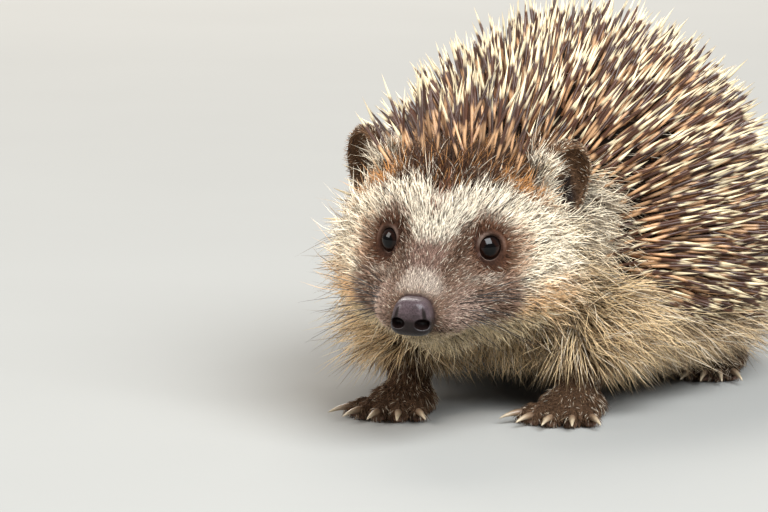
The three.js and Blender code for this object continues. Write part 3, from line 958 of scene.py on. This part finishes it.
class Shader:
    """A material whose nodes are made and joined by short calls."""

    def __init__(self, name, roughness, gloss, **coat):
        self.material = bpy.data.materials.new(name)
        self.material.use_nodes = True
        self.tree = self.material.node_tree
        self.surface = next(n for n in self.tree.nodes if n.type == "BSDF_PRINCIPLED")
        self.surface.inputs["Roughness"].default_value = roughness
        self.surface.inputs["Specular IOR Level"].default_value = gloss
        for key, value in coat.items():
            self.surface.inputs[f"Coat {key}"].default_value = value

    def node(self, kind, inputs=(), **settings):
        made = self.tree.nodes.new(kind)
        for key, value in settings.items():
            setattr(made, key, value)
        for key, value in dict(inputs).items():
            if isinstance(value, bpy.types.NodeSocket):
                self.tree.links.new(value, made.inputs[key])
            else:
                made.inputs[key].default_value = value
        return made

    def attribute(self, name, output="Fac"):
        return self.node("ShaderNodeAttribute", attribute_name=name).outputs[output]

    def place(self):
        return self.node("ShaderNodeTexCoord").outputs["Object"]

    def noise(self, scale, detail=3.0, stretch=None):
        place = self.place()
        if stretch:
            place = self.node("ShaderNodeMapping", {"Vector": place, "Scale": stretch}).outputs[0]
        inputs = {"Vector": place, "Scale": scale, "Detail": detail}
        return self.node("ShaderNodeTexNoise", inputs).outputs["Fac"]

    def cells(self, scale):
        inputs = {"Vector": self.place(), "Scale": scale}
        return self.node("ShaderNodeTexVoronoi", inputs).outputs["Distance"]

    def ranged(self, value, low, high, start=0.0, stop=1.0):
        inputs = {"Value": value, 1: start, 2: stop, 3: low, 4: high}
        return self.node("ShaderNodeMapRange", inputs).outputs[0]

    def math(self, operation, a, b):
        return self.node("ShaderNodeMath", {0: a, 1: b}, operation=operation).outputs[0]

    def mix(self, share, a, b, how="MIX"):
        a, b = [tuple(x) + (1.0,) if isinstance(x, np.ndarray) else x for x in (a, b)]
        made = self.node("ShaderNodeMix", {0: share, 6: a, 7: b}, data_type="RGBA", blend_type=how)
        return made.outputs[2]

    def ramp(self, value, stops):
        made = self.node("ShaderNodeValToRGB", {0: value})
        ramp = made.color_ramp
        ramp.elements.remove(ramp.elements[1])
        ramp.elements[0].position = stops[0][0]
        ramp.elements[0].color = (*stops[0][1], 1.0)
        for at, colour in stops[1:]:
            ramp.elements.new(at).color = (*colour, 1.0)
        return made.outputs[0]

    def scaled(self, colour, value):
        return self.node("ShaderNodeHueSaturation", {"Color": colour, "Value": value}).outputs[0]

    def finish(self, colour, height=None, strength=0.3, depth=0.0002, roughness=None):
        self.tree.links.new(colour, self.surface.inputs["Base Color"])
        if roughness is not None:
            self.tree.links.new(roughness, self.surface.inputs["Roughness"])
        if height is not None:
            inputs = {"Height": height, "Strength": strength, "Distance": depth}
            bump = self.node("ShaderNodeBump", inputs)
            self.tree.links.new(bump.outputs[0], self.surface.inputs["Normal"])
        return self.material


def skin_material():
    s = Shader("skin_and_underfur", 0.85, 0.1)
    tint, bare = s.attribute("tint", "Color"), s.attribute("bare")
    # Where hair grows, the tint is mixed with a darker brown: partly the skin's own brown, partly painted
    # shade under the hair, so the gaps between hairs look dark.
    shaded_underfur = s.mix(s.noise(700, 4.0), tint, linear(88, 66, 50), "MULTIPLY")
    furred = s.scaled(s.mix(0.45, tint, shaded_underfur), s.ranged(s.noise(1600, 5.0), 0.25, 0.75, 0.3, 0.7))
    naked = s.scaled(tint, s.ranged(s.noise(900), 0.75, 1.15, 0.3, 0.7))
    colour = s.mix(bare, furred, naked)
    height = s.math("ADD", s.noise(2600, 6.0), s.cells(900))
    return s.finish(colour, height, 0.7, 0.0003, s.ranged(bare, 0.85, 0.6))


def hair_material():
    s = Shader("fur", 0.5, 0.22)
    along, tone = s.attribute("along"), s.attribute("tone")
    # The hairs are painted darker towards their roots: painted shade of the coat on itself. The tone is
    # each hair's own random tone.
    light = s.math("MULTIPLY", s.ranged(along, 0.36, 1.16, 0.0, 0.6), s.ranged(tone, 0.74, 1.28))
    colour = s.scaled(s.attribute("tint", "Color"), light)
    return s.finish(colour, s.noise(4000, 2.0), 0.25, 0.00005, s.ranged(tone, 0.42, 0.6))


def quill_material():
    s = Shader("spine", 0.36, 0.5)
    along, tone = s.attribute("along"), s.attribute("tone")
    shifted = s.math("ADD", along, s.ranged(tone, -0.16, 0.11))
    wobble = s.math("ADD", shifted, s.ranged(s.noise(500), -0.04, 0.04))
    base, horn = linear(118, 76, 46), linear(210, 162, 118)
    dark, tip = linear(76, 44, 28), linear(228, 206, 166)
    stops = [(0.0, base), (0.14, base), (0.24, horn), (0.38, horn)]
    stops += [(0.45, dark), (0.70, dark), (0.77, tip), (1.0, tip)]
    colour = s.scaled(s.ramp(wobble, stops), s.ranged(s.attribute("shade"), 0.5, 1.22))
    grain = s.noise(900, 3.0, (1.0, 1.0, 0.2))
    return s.finish(colour, grain, 0.3, 0.0001, s.ranged(grain, 0.3, 0.46))


def nose_material():
    s = Shader("moist_nose", 0.34, 0.14, Weight=0.22, Roughness=0.12)
    pebbles = s.cells(2600)
    # Painted light: the upper half is lighter and bluish, a painted sheen of the light from above; the
    # lower half is near-black, painted shade.
    upper = s.mix(s.noise(500, 4.0), linear(48, 37, 38), linear(92, 77, 80))
    lower = s.mix(s.noise(500, 4.0), linear(11, 6, 5), linear(27, 16, 12))
    colour = s.mix(s.attribute("painted_shade"), upper, lower)
    colour = s.scaled(colour, s.ranged(pebbles, 0.65, 1.2, 0.1, 0.7))
    return s.finish(colour, pebbles, 0.55, 0.00016, s.ranged(s.noise(1500), 0.24, 0.42))


def eye_material():
    s = Shader("wet_eye", 0.12, 0.05, Weight=0.18, Roughness=0.02, IOR=1.8)
    streaks = s.noise(2500, 4.0)
    off_axis = s.math("ADD", s.attribute("off_axis"), s.ranged(streaks, -0.03, 0.03))
    pupil, iris = linear(3, 2, 2), linear(27, 12, 7)
    edge, white = linear(11, 6, 5), linear(56, 42, 36)
    stops = [(0.0, pupil), (0.34, pupil), (0.44, iris), (0.60, iris)]
    stops += [(0.76, edge), (0.95, edge), (1.0, white)]
    colour = s.scaled(s.ramp(off_axis, stops), s.ranged(streaks, 0.7, 1.3, 0.3, 0.7))
    return s.finish(colour, streaks, 0.04, 0.00005, s.ranged(streaks, 0.06, 0.14))


def claw_material():
    s = Shader("horn_claw", 0.35, 0.5)
    stops = [(0.0, linear(92, 70, 56)), (0.35, linear(128, 104, 82)), (1.0, linear(196, 178, 150))]
    colour = s.ramp(s.attribute("along"), stops)
    grain = s.noise(1200, 3.0, (1.0, 0.25, 1.0))
    colour = s.scaled(colour, s.ranged(grain, 0.8, 1.15, 0.3, 0.7))
    return s.finish(colour, grain, 0.3, 0.0001, s.ranged(grain, 0.28, 0.45))


def whisker_material():
    s = Shader("whisker", 0.35, 0.5)
    stops = [(0.0, linear(20, 15, 13)), (0.7, linear(34, 26, 22)), (1.0, linear(80, 66, 56))]
    colour = s.ramp(s.attribute("along"), stops)
    return s.finish(colour, s.noise(3000), 0.2, 0.00003)


# ---- Skin, spines and hair ----

FLESH = ["spiny_back", "spiny_nape", "spiny_crown", "trunk", "neck", "head", "snout", "lower_jaw", "tail"]
FLESH += ["ear_left", "ear_right", *LIMBS, *[name.replace("leg", "foot") for name in LIMBS]]


def skin_grid():
    fine = 1.0
    xs = graded((-48, -34, 1.6 * fine), (-34, 46, 0.74 * fine), (46, 50, 1.6 * fine))
    ys = graded((-126, -44, 0.74 * fine), (-44, -20, 1.3 * fine), (-20, 90, 2.1 * fine))
    zs = graded((-0.8, 12, 0.75 * fine), (12, 78, 0.76 * fine), (78, 92, 1.5 * fine))
    return xs, ys, zs


def bareness(p):
    """1 on bare skin: the lids, the lips, the inside of the ears and the soles."""
    q = to_head(p)
    bare = smooth_step(0.9, 0.1, lid_field(mirrored(q)))
    bare = np.maximum(bare, smooth_step(0.8, 0.0, nose_field(q)))
    for side in (1, -1):
        hollow = ear_field(q, side)[1]
        bare = np.maximum(bare, smooth_step(0.6, 0.0, hollow))
    return np.maximum(bare, smooth_step(1.8, 0.6, p[:, 2]))


def skin_tint(p):
    q = to_head(p)
    m = mirrored(q)
    c = markings(p)
    # Painted shade: the skin from the neck back is darkened under the long hair and the spines.
    c = c * (1 - 0.66 * smooth_step(26, 38, q[:, 1]))[:, None]
    lower = 0.3 + 0.6 * smooth_step(0.8, -1.8, m[:, 2] - LID_AT[2])
    lid = lid_field(m)
    c = blend(c, "lid_edge", smooth_step(0.5, -0.1, lid))
    c = blend(c, "lid", lower * smooth_step(0.62, 0.25, lid))
    c = blend(c, "canthus", smooth_step(1.7, 0.7, np.linalg.norm(m - CANTHUS, axis=1)))
    lip_line = smooth_step(0.9, 0.2, np.maximum(lips(q), q[:, 1] - 2))
    c = blend(c, "lips", lip_line * smooth_step(4, 0, q[:, 1]))
    c = blend(c, "nose_edge", smooth_step(0.9, 0.3, nose_field(q)))
    return blend(c, "sole", smooth_step(1.8, 0.8, p[:, 2]) * limb_weight(p))


def near_eyes(p):
    return np.linalg.norm(mirrored(to_head(p)) - LID_AT, axis=1) < 5.5


def near_ears(p):
    return nearest_ear(to_head(p)) < 0.6


def vertex_places(mesh):
    places = np.empty(len(mesh.vertices) * 3, np.float32)
    mesh.vertices.foreach_get("co", places)
    return (places.reshape(-1, 3) / MM - SHIFT).astype(np.float32)


def refine(mesh, chosen, times):
    """Divides the faces in a chosen region, and pulls the new points onto the flesh."""
    for _ in range(times):
        grown = bmesh.new()
        grown.from_mesh(mesh)
        centres = np.array([face.calc_center_median() for face in grown.faces]) / MM - SHIFT
        hit = chosen(centres)
        edges = {edge for face, inside in zip(grown.faces, hit) if inside for edge in face.edges}
        bmesh.ops.subdivide_edges(grown, edges=list(edges), cuts=1, use_grid_fill=True)
        grown.to_mesh(mesh)
        grown.free()
        points = vertex_places(mesh)
        moved = chosen(points)
        part = points[moved]
        for _ in range(3):
            part = part - gradient(flesh, part, 0.03) * np.clip(flesh(part), -0.2, 0.2)[:, None]
        points[moved] = part
        put_vertices(mesh, points)
    mesh.polygons.foreach_set("use_smooth", np.ones(len(mesh.polygons), bool))
    mesh.update()


def build_skin():
    points, faces = surface_nets(flesh, *skin_grid())
    mesh = new_mesh("skin", points, faces, 4)
    refine(mesh, near_ears, 1)
    refine(mesh, near_eyes, 2)
    fine = vertex_places(mesh)
    put_colour(mesh, "tint", skin_tint(fine))
    put_number(mesh, "bare", bareness(fine))
    add_piece(mesh, skin_material(), FLESH)
    return points, faces


QUILL_SHAPE = [(0, 0.5), (0.07, 0.85), (0.3, 1.0), (0.72, 0.92), (1, 0)]
QUILL_SIDES = 5
QUILL_SPACING = 2.0
QUILL_RADIUS = 0.5
QUILL_LENGTH = 20.5
QUILL_SUNK = 0.8
QUILL_LIFT = 38  # degrees from the skin
CROWN_LONGER = 6.5
CROWN_STEEPER = 20  # degrees
CROWN_SPARSER = 0.42  # the share of spines left out
CROWN_BACK = 42  # where the pieces of the crown and the back meet, in the head's frame
RUMP_FROM = 30


def on_crown(p):
    """1 on the front of the spiny skin, where the spines are long, sparse and upright."""
    return smooth_step(50, 24, to_head(p)[:, 1])


def quill_length(p):
    q = to_head(p)
    length = QUILL_LENGTH + CROWN_LONGER * on_crown(p)
    edge = np.maximum(smooth_step(0, 9, spiny(p)), 0.8 * smooth_step(34, 26, q[:, 1]))
    return length * (0.62 + 0.38 * edge) * rng.uniform(0.84 - 0.1 * on_crown(p), 1.08)


def quill_ways(p, normals):
    """Spines fan back over the body, and stand up on the crown."""
    out = tangent(p - FAN_AT, normals)
    flat = out / (np.linalg.norm(out, axis=1, keepdims=True) + 7.0)
    q = to_head(p)
    crown = on_crown(p)[:, None]
    lift = np.radians(QUILL_LIFT + CROWN_STEEPER * crown + rng.normal(0, 5, (len(p), 1)))
    way = unit(normals * np.sin(lift) + flat * np.cos(lift))
    upright = unit(np.stack([0.022 * q[:, 0], np.full(len(q), 0.38), np.ones(len(q))], 1)) @ HEAD.T
    way = way * (1 - 0.8 * crown) + upright * 0.8 * crown
    return unit(way + rng.normal(0, 1, p.shape) * (0.12 + 0.07 * crown))


def clear_of_ears(roots, ways, lengths):
    """True for the spines that don't run through an ear."""
    clear = np.ones(len(roots), bool)
    for share in (0.25, 0.5, 0.75, 1.0):
        q = to_head(roots + ways * (lengths * share)[:, None])
        clear &= nearest_ear(q) > 1.0
    return clear


def coat_mesh(name, part, strands, shape, sides):
    """A piece of the coat from some of the strands, with a tone of its own for each of them."""
    strands = [x[part] for x in strands]
    places = fitted(unwrapped(strands[0]))
    mesh, per_strand = strand_mesh(name, *strands, shape, sides, places)
    put_number(mesh, "tone", np.repeat(rng.random(part.sum()), per_strand))
    return mesh, per_strand


def build_quills(points, faces):
    roots = area_samples(points, faces, 1.2)
    roots = spaced_out(roots[spiny(roots) + rng.normal(0, 0.8, len(roots)) > 0.5], QUILL_SPACING)
    roots = roots[rng.random(len(roots)) > CROWN_SPARSER * on_crown(roots)]
    normals = gradient(flesh, roots)
    ways = quill_ways(roots, normals)
    lengths = quill_length(roots)
    clear = clear_of_ears(roots, ways, lengths)
    roots, normals, ways, lengths = [x[clear] for x in (roots, normals, ways, lengths)]
    radii = QUILL_RADIUS * rng.uniform(0.82, 1.12, len(roots)) * (1 - 0.2 * on_crown(roots))
    roots = roots - normals * QUILL_SUNK
    strands = [roots, ways, rng.normal(0, 0.02, roots.shape), lengths, radii]
    material = quill_material()
    for name, part in quill_zones(roots).items():
        mesh, per = coat_mesh(name, part, strands, QUILL_SHAPE, QUILL_SIDES)
        shade = rng.random(part.sum()) ** (1.5 if name == "spines_crown" else 0.62)
        put_number(mesh, "shade", np.repeat(shade, per))
        add_piece(mesh, material)


def quill_zones(p):
    crown = to_head(p)[:, 1] < CROWN_BACK
    rump = ~crown & (p[:, 1] >= RUMP_FROM)
    back = ~crown & ~rump
    return {
        "spines_crown": crown,
        "spines_left": back & (p[:, 0] >= 0),
        "spines_right": back & (p[:, 0] < 0),
        "spines_rump": rump,
    }


SHORT_HAIR = [(0, 1.0), (0.55, 0.8), (1, 0)]
LONG_HAIR = [(0, 0.9), (0.35, 1.0), (0.7, 0.75), (1, 0)]
SHORT_HAIRED = ("fur_muzzle", "fur_limbs", "fur_ears")
HAIR_SIDES = 3
HAIR_SAG = np.array([0, 0, -0.10])
HAIR_SUNK = 0.15
MOST_HAIRS = 9.0  # to the square millimetre


def between_spines(p):
    """1 on the hair among the foremost spines, which is painted dark brown: partly its own colour, partly
    painted shade between the spines.
    """
    return smooth_step(-2, 2, spiny(p)) * smooth_step(38, 30, to_head(p)[:, 1])


def hair_lift(m, lengths):
    """How far the hair stands off the skin."""
    lift = np.interp(lengths, [0.8, 2.5, 8, 16, 28], [0.34, 0.40, 0.5, 0.42, 0.34])
    lift = lift + 0.6 * ruff(m) + 0.5 * ear_hair(m) + 0.5 * behind_ear(m)
    return lift + 0.4 * ear_edge(m) + 0.35 * pale_brow(m)


def hair_lie(roots, normals, lengths):
    """The way each hair starts, and how it bends."""
    m = mirrored(to_head(roots))
    lift = hair_lift(m, lengths)[:, None]
    neat = 1 - 0.5 * pale_brow(m)[:, None]
    loose = neat * np.interp(lengths, [1, 6, 12, 20], [0.13, 0.21, 0.33, 0.38])[:, None]
    wave = neat * np.interp(lengths, [3, 12], [0.08, 0.20])[:, None]
    ways = hair_way(roots, normals) + normals * lift
    ways = unit(ways + rng.normal(0, 1, roots.shape) * loose)
    bends = -normals * lift * 0.35 + rng.normal(0, 1, roots.shape) * wave + HAIR_SAG
    bends += locks(roots, lengths)
    return unit(ways + normals * (0.9 * between_spines(roots))[:, None]), bends


def build_fur(points, faces):
    roots = area_samples(points, faces, MOST_HAIRS)
    roots = roots[rng.random(len(roots)) < hair_density(roots) / MOST_HAIRS]
    normals = gradient(flesh, roots)
    lengths = hair_length(roots) * rng.uniform(0.7, 1.15, len(roots))
    ways, bends = hair_lie(roots, normals, lengths)
    radii = np.interp(lengths, [0.8, 2, 5, 10, 25], [0.055, 0.08, 0.105, 0.11, 0.12])
    tint = hair_tint(roots + rng.normal(0, 0.7, roots.shape), lengths)
    lengths = clear_of_floor(roots, ways, bends, lengths)
    roots = roots - normals * HAIR_SUNK
    strands = [roots, ways, bends, lengths, radii]
    material = hair_material()
    for name, (part, slot) in hair_zones(roots, lengths).items():
        shape = SHORT_HAIR if name in SHORT_HAIRED else LONG_HAIR
        mesh, per = coat_mesh(name, part, strands, shape, HAIR_SIDES)
        put_colour(mesh, "tint", np.repeat(tint[part], per, axis=0))
        add_piece(mesh, material)


# Hair lengths from and to, and the spacing of their locks.
LOCKS = [(2.4, 5.0, 1.3), (5.0, 9.5, 2.0), (9.5, 60.0, 3.0)]


def locks(roots, lengths):
    """Bends that draw the tips of neighbouring hairs together."""
    pull = np.zeros(roots.shape)
    for shortest, longest, spacing in LOCKS:
        part = np.nonzero((lengths >= shortest) & (lengths < longest))[0]
        middles = spaced_out(roots[part], spacing)
        tree = search_tree(middles)
        nearest = np.array([tree.find(root)[1] for root in roots[part]])
        towards = middles[nearest] - roots[part]
        pull[part] = towards * rng.uniform(0.3, 0.9, (len(part), 1)) / lengths[part, None]
    return pull


def hair_tint(p, lengths):
    """The markings, with dark, reddish and pale hairs strewn among the others. The dark hairs are partly
    the coat's own and partly painted shade: they stand for the shaded gaps between strands.
    """
    tint = markings(p)
    q = to_head(p)
    dark_share = np.interp(lengths, [1, 5, 12, 25], [0.22, 0.14, 0.38, 0.46])
    # More dark hairs behind the ears: painted shade between the strands there.
    dark_share = dark_share + 0.22 * behind_ear(mirrored(q))
    dark = rng.random(len(p)) < np.maximum(dark_share, 0.85 * between_spines(p))
    tint[dark] = tint[dark] * 0.25 + PELT["dark_hair"] * 0.75
    reddish = rng.random(len(p)) < 0.16 * dark_crown(q)
    tint[reddish] = tint[reddish] * 0.5 + PELT["rust"] * 0.5
    pale_share = (0.10 + 0.10 * smooth_step(20, 40, q[:, 1])) * (1 - between_spines(p))
    pale = rng.random(len(p)) < pale_share
    tint[pale] = tint[pale] * 0.4 + PELT["forehead"] * 0.6
    return tint


def clear_of_floor(roots, ways, bends, lengths):
    """Shortens hairs that would reach the floor."""
    for _ in range(4):
        tips = roots[:, 2] + lengths * (ways[:, 2] + bends[:, 2])
        low = tips < 5.0
        lengths = np.where(low & (roots[:, 2] > 7), lengths * 0.8, lengths)
    return lengths


def hair_zones(p, lengths):
    """The pieces of the coat of hair: the hairs of each, and the kind of fur it is."""
    q = to_head(p)
    limb = limb_weight(p) > 0.4
    ears = nearest_ear(q) < ON_EAR
    head = (q[:, 1] < 34) & ~limb & ~ears
    muzzle = head & (lengths < 3.2)
    forehead = head & ~muzzle & (q[:, 2] > 3)
    cheeks = head & ~muzzle & ~forehead
    body = ~head & ~limb & ~ears
    low = p[:, 2] < 17.5
    neck = body & (p[:, 1] < -34) & ~low
    flank = body & ~neck & ~low
    return {
        "fur_muzzle": (muzzle, "mask_fur"),
        "fur_forehead": (forehead, "pale_fur"),
        "fur_cheek_left": (cheeks & (q[:, 0] > 0), "pale_fur"),
        "fur_cheek_right": (cheeks & (q[:, 0] <= 0), "pale_fur"),
        "fur_neck": (neck, "flank_fur"),
        "fur_flank_left": (flank & (p[:, 0] > 0), "flank_fur"),
        "fur_flank_right": (flank & (p[:, 0] <= 0), "flank_fur"),
        "fur_belly": (body & low, "flank_fur"),
        "fur_limbs": (limb, "leg_fur"),
        "fur_ears": (ears & ~limb, "ear_skin"),
    }


WHISKER_ROWS = 4
WHISKERS_PER_ROW = 4
WHISKERS_PER_BROW = 3
WHISKER_RADIUS = 0.11
WHISKER_SIDES = 4
WHISKER_PATCH = 0.04
WHISKER_SHAPE = [(0, 1), (0.3, 0.85), (0.6, 0.6), (0.85, 0.3), (1, 0)]


def build_whiskers():
    """Long black whiskers in rows on both sides of the muzzle, and a few over each eye."""
    roots, ways, lengths = [], [], []
    for side in (1, -1):
        for row in range(WHISKER_ROWS):
            for place in range(WHISKERS_PER_ROW):
                along = -25 + 4.2 * place + rng.normal(0, 0.5)
                way = np.array([side * 1.0, 0.35 + 0.1 * place, 0.25 - 0.22 * row])
                roots.append(np.array([side * 12.0, along, -8.5 - 1.9 * row]))
                ways.append(unit(way + rng.normal(0, 0.12, 3)))
                lengths.append(rng.uniform(14, 22) + 2.2 * place)
        for k in range(WHISKERS_PER_BROW):
            roots.append(np.array([side * (8.0 + 3 * k), 1.0 + k, 9.0]))
            ways.append(unit(np.array([side * 0.6, 0.1, 0.9]) + rng.normal(0, 0.15, 3)))
            lengths.append(rng.uniform(9, 13))
    roots, ways = sunk_to_face(np.array(roots)), np.array(ways)
    bends = rng.normal(0, 0.05, roots.shape) + [0, 0.12, -0.12]
    count = len(roots)
    places = fitted(np.stack([np.arange(count) % 8, np.arange(count) // 8], 1).astype(float))
    whiskers = [from_head(roots), ways @ HEAD.T, bends @ HEAD.T]
    whiskers += [np.array(lengths), np.full(count, WHISKER_RADIUS)]
    mesh, _ = strand_mesh("whiskers", *whiskers, WHISKER_SHAPE, WHISKER_SIDES, places, WHISKER_PATCH)
    add_piece(mesh, whisker_material())


def sunk_to_face(q):
    """Moves points sideways onto the face."""
    for _ in range(12):
        q = q - gradient(face_base, q) * face_base(q)[:, None] * 0.9
    return q


# ---- Camera, light and floor ----

PICTURE = (768.0, 512.0)
EYES_IN_PICTURE = (440.0, 244.5)  # the pixel at the midpoint between the eyes
VIEW = {"azimuth": 28.0, "elevation": 8.0, "away": 1200.0, "pixels_per_radian": 4800.0}
SENSOR = 36.0
LIGHTS = {  # where each stands in metres, its size, its watts and its colour
    "sky_softbox": ((1.47, -0.85, 1.75), 1.8, 134.0, (0.90, 0.96, 1.0)),
    "left_softbox": ((-1.2, -1.0, 0.9), 0.9, 24.0, (1.0, 0.98, 0.94)),
    "back_softbox": ((-1.0, 1.5, 1.3), 1.2, 44.0, (1.0, 0.97, 0.92)),
}
AMBIENT = {"Color": (0.84, 0.86, 0.88, 1.0), "Strength": 0.3}
FLOOR_SIZE = 12


def build_camera():
    azimuth, elevation = np.radians([VIEW["azimuth"], VIEW["elevation"]])
    right = np.array([math.cos(azimuth), math.sin(azimuth), 0.0])
    level = math.cos(elevation)
    back = np.array([math.sin(azimuth) * level, -math.cos(azimuth) * level, math.sin(elevation)])
    up = np.cross(back, right)
    per_pixel = VIEW["away"] / VIEW["pixels_per_radian"]
    across, above = EYES_IN_PICTURE[0] - PICTURE[0] / 2, PICTURE[1] / 2 - EYES_IN_PICTURE[1]
    aim = HEAD_AT - right * across * per_pixel - up * above * per_pixel
    data = bpy.data.cameras.new("camera")
    data.sensor_width = SENSOR
    data.lens = VIEW["pixels_per_radian"] * SENSOR / PICTURE[0]
    data.clip_start = 0.05
    camera = bpy.data.objects.new("camera", data)
    bpy.context.scene.collection.objects.link(camera)
    camera.location = (aim + back * VIEW["away"] + SHIFT) * MM
    camera.rotation_euler = Vector(back).to_track_quat("Z", "Y").to_euler()
    bpy.context.scene.camera = camera


def build_light(name, place, size, watts, colour):
    data = bpy.data.lights.new(name, "AREA")
    data.size = size
    data.energy = watts
    data.color = colour
    light = bpy.data.objects.new(name, data)
    bpy.context.scene.collection.objects.link(light)
    light.location = place
    light.rotation_euler = Vector(place).to_track_quat("Z", "Y").to_euler()


def build_studio():
    bpy.ops.mesh.primitive_plane_add(size=FLOOR_SIZE)
    floor = bpy.context.object
    floor.name = "floor"
    s = Shader("floor_paint", 1.0, 0.0)
    colour = s.mix(s.noise(6.0), linear(154, 152, 148), linear(159, 157, 153))
    floor.data.materials.append(s.finish(colour, s.noise(300.0), 0.1, 0.0002))
    for name, light in LIGHTS.items():
        build_light(name, *light)
    world = bpy.data.worlds.new("studio")
    world.use_nodes = True
    for key, value in AMBIENT.items():
        world.node_tree.nodes["Background"].inputs[key].default_value = value
    bpy.context.scene.world = world
    bpy.context.scene.view_settings.view_transform = "Standard"


# ---- The whole model ----

# The middle of the left fore foot's sole, where the first mount is.
SOLE_AT = np.array([30.0, -52.0, 0.0])


def main():
    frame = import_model()
    SHIFT[:] = np.array(frame["record"]["mounts"][0]["pos_m"]) / MM - SOLE_AT
    points, faces = build_skin()
    build_quills(points, faces)
    build_fur(points, faces)
    build_whiskers()
    build_nose()
    for side in (1, -1):
        build_eye(side)
    for name, limb in LIMBS.items():
        build_claws(name.replace("leg", "foot"), limb)
    build_studio()
    build_camera()


if __name__ == "__main__":
    main()
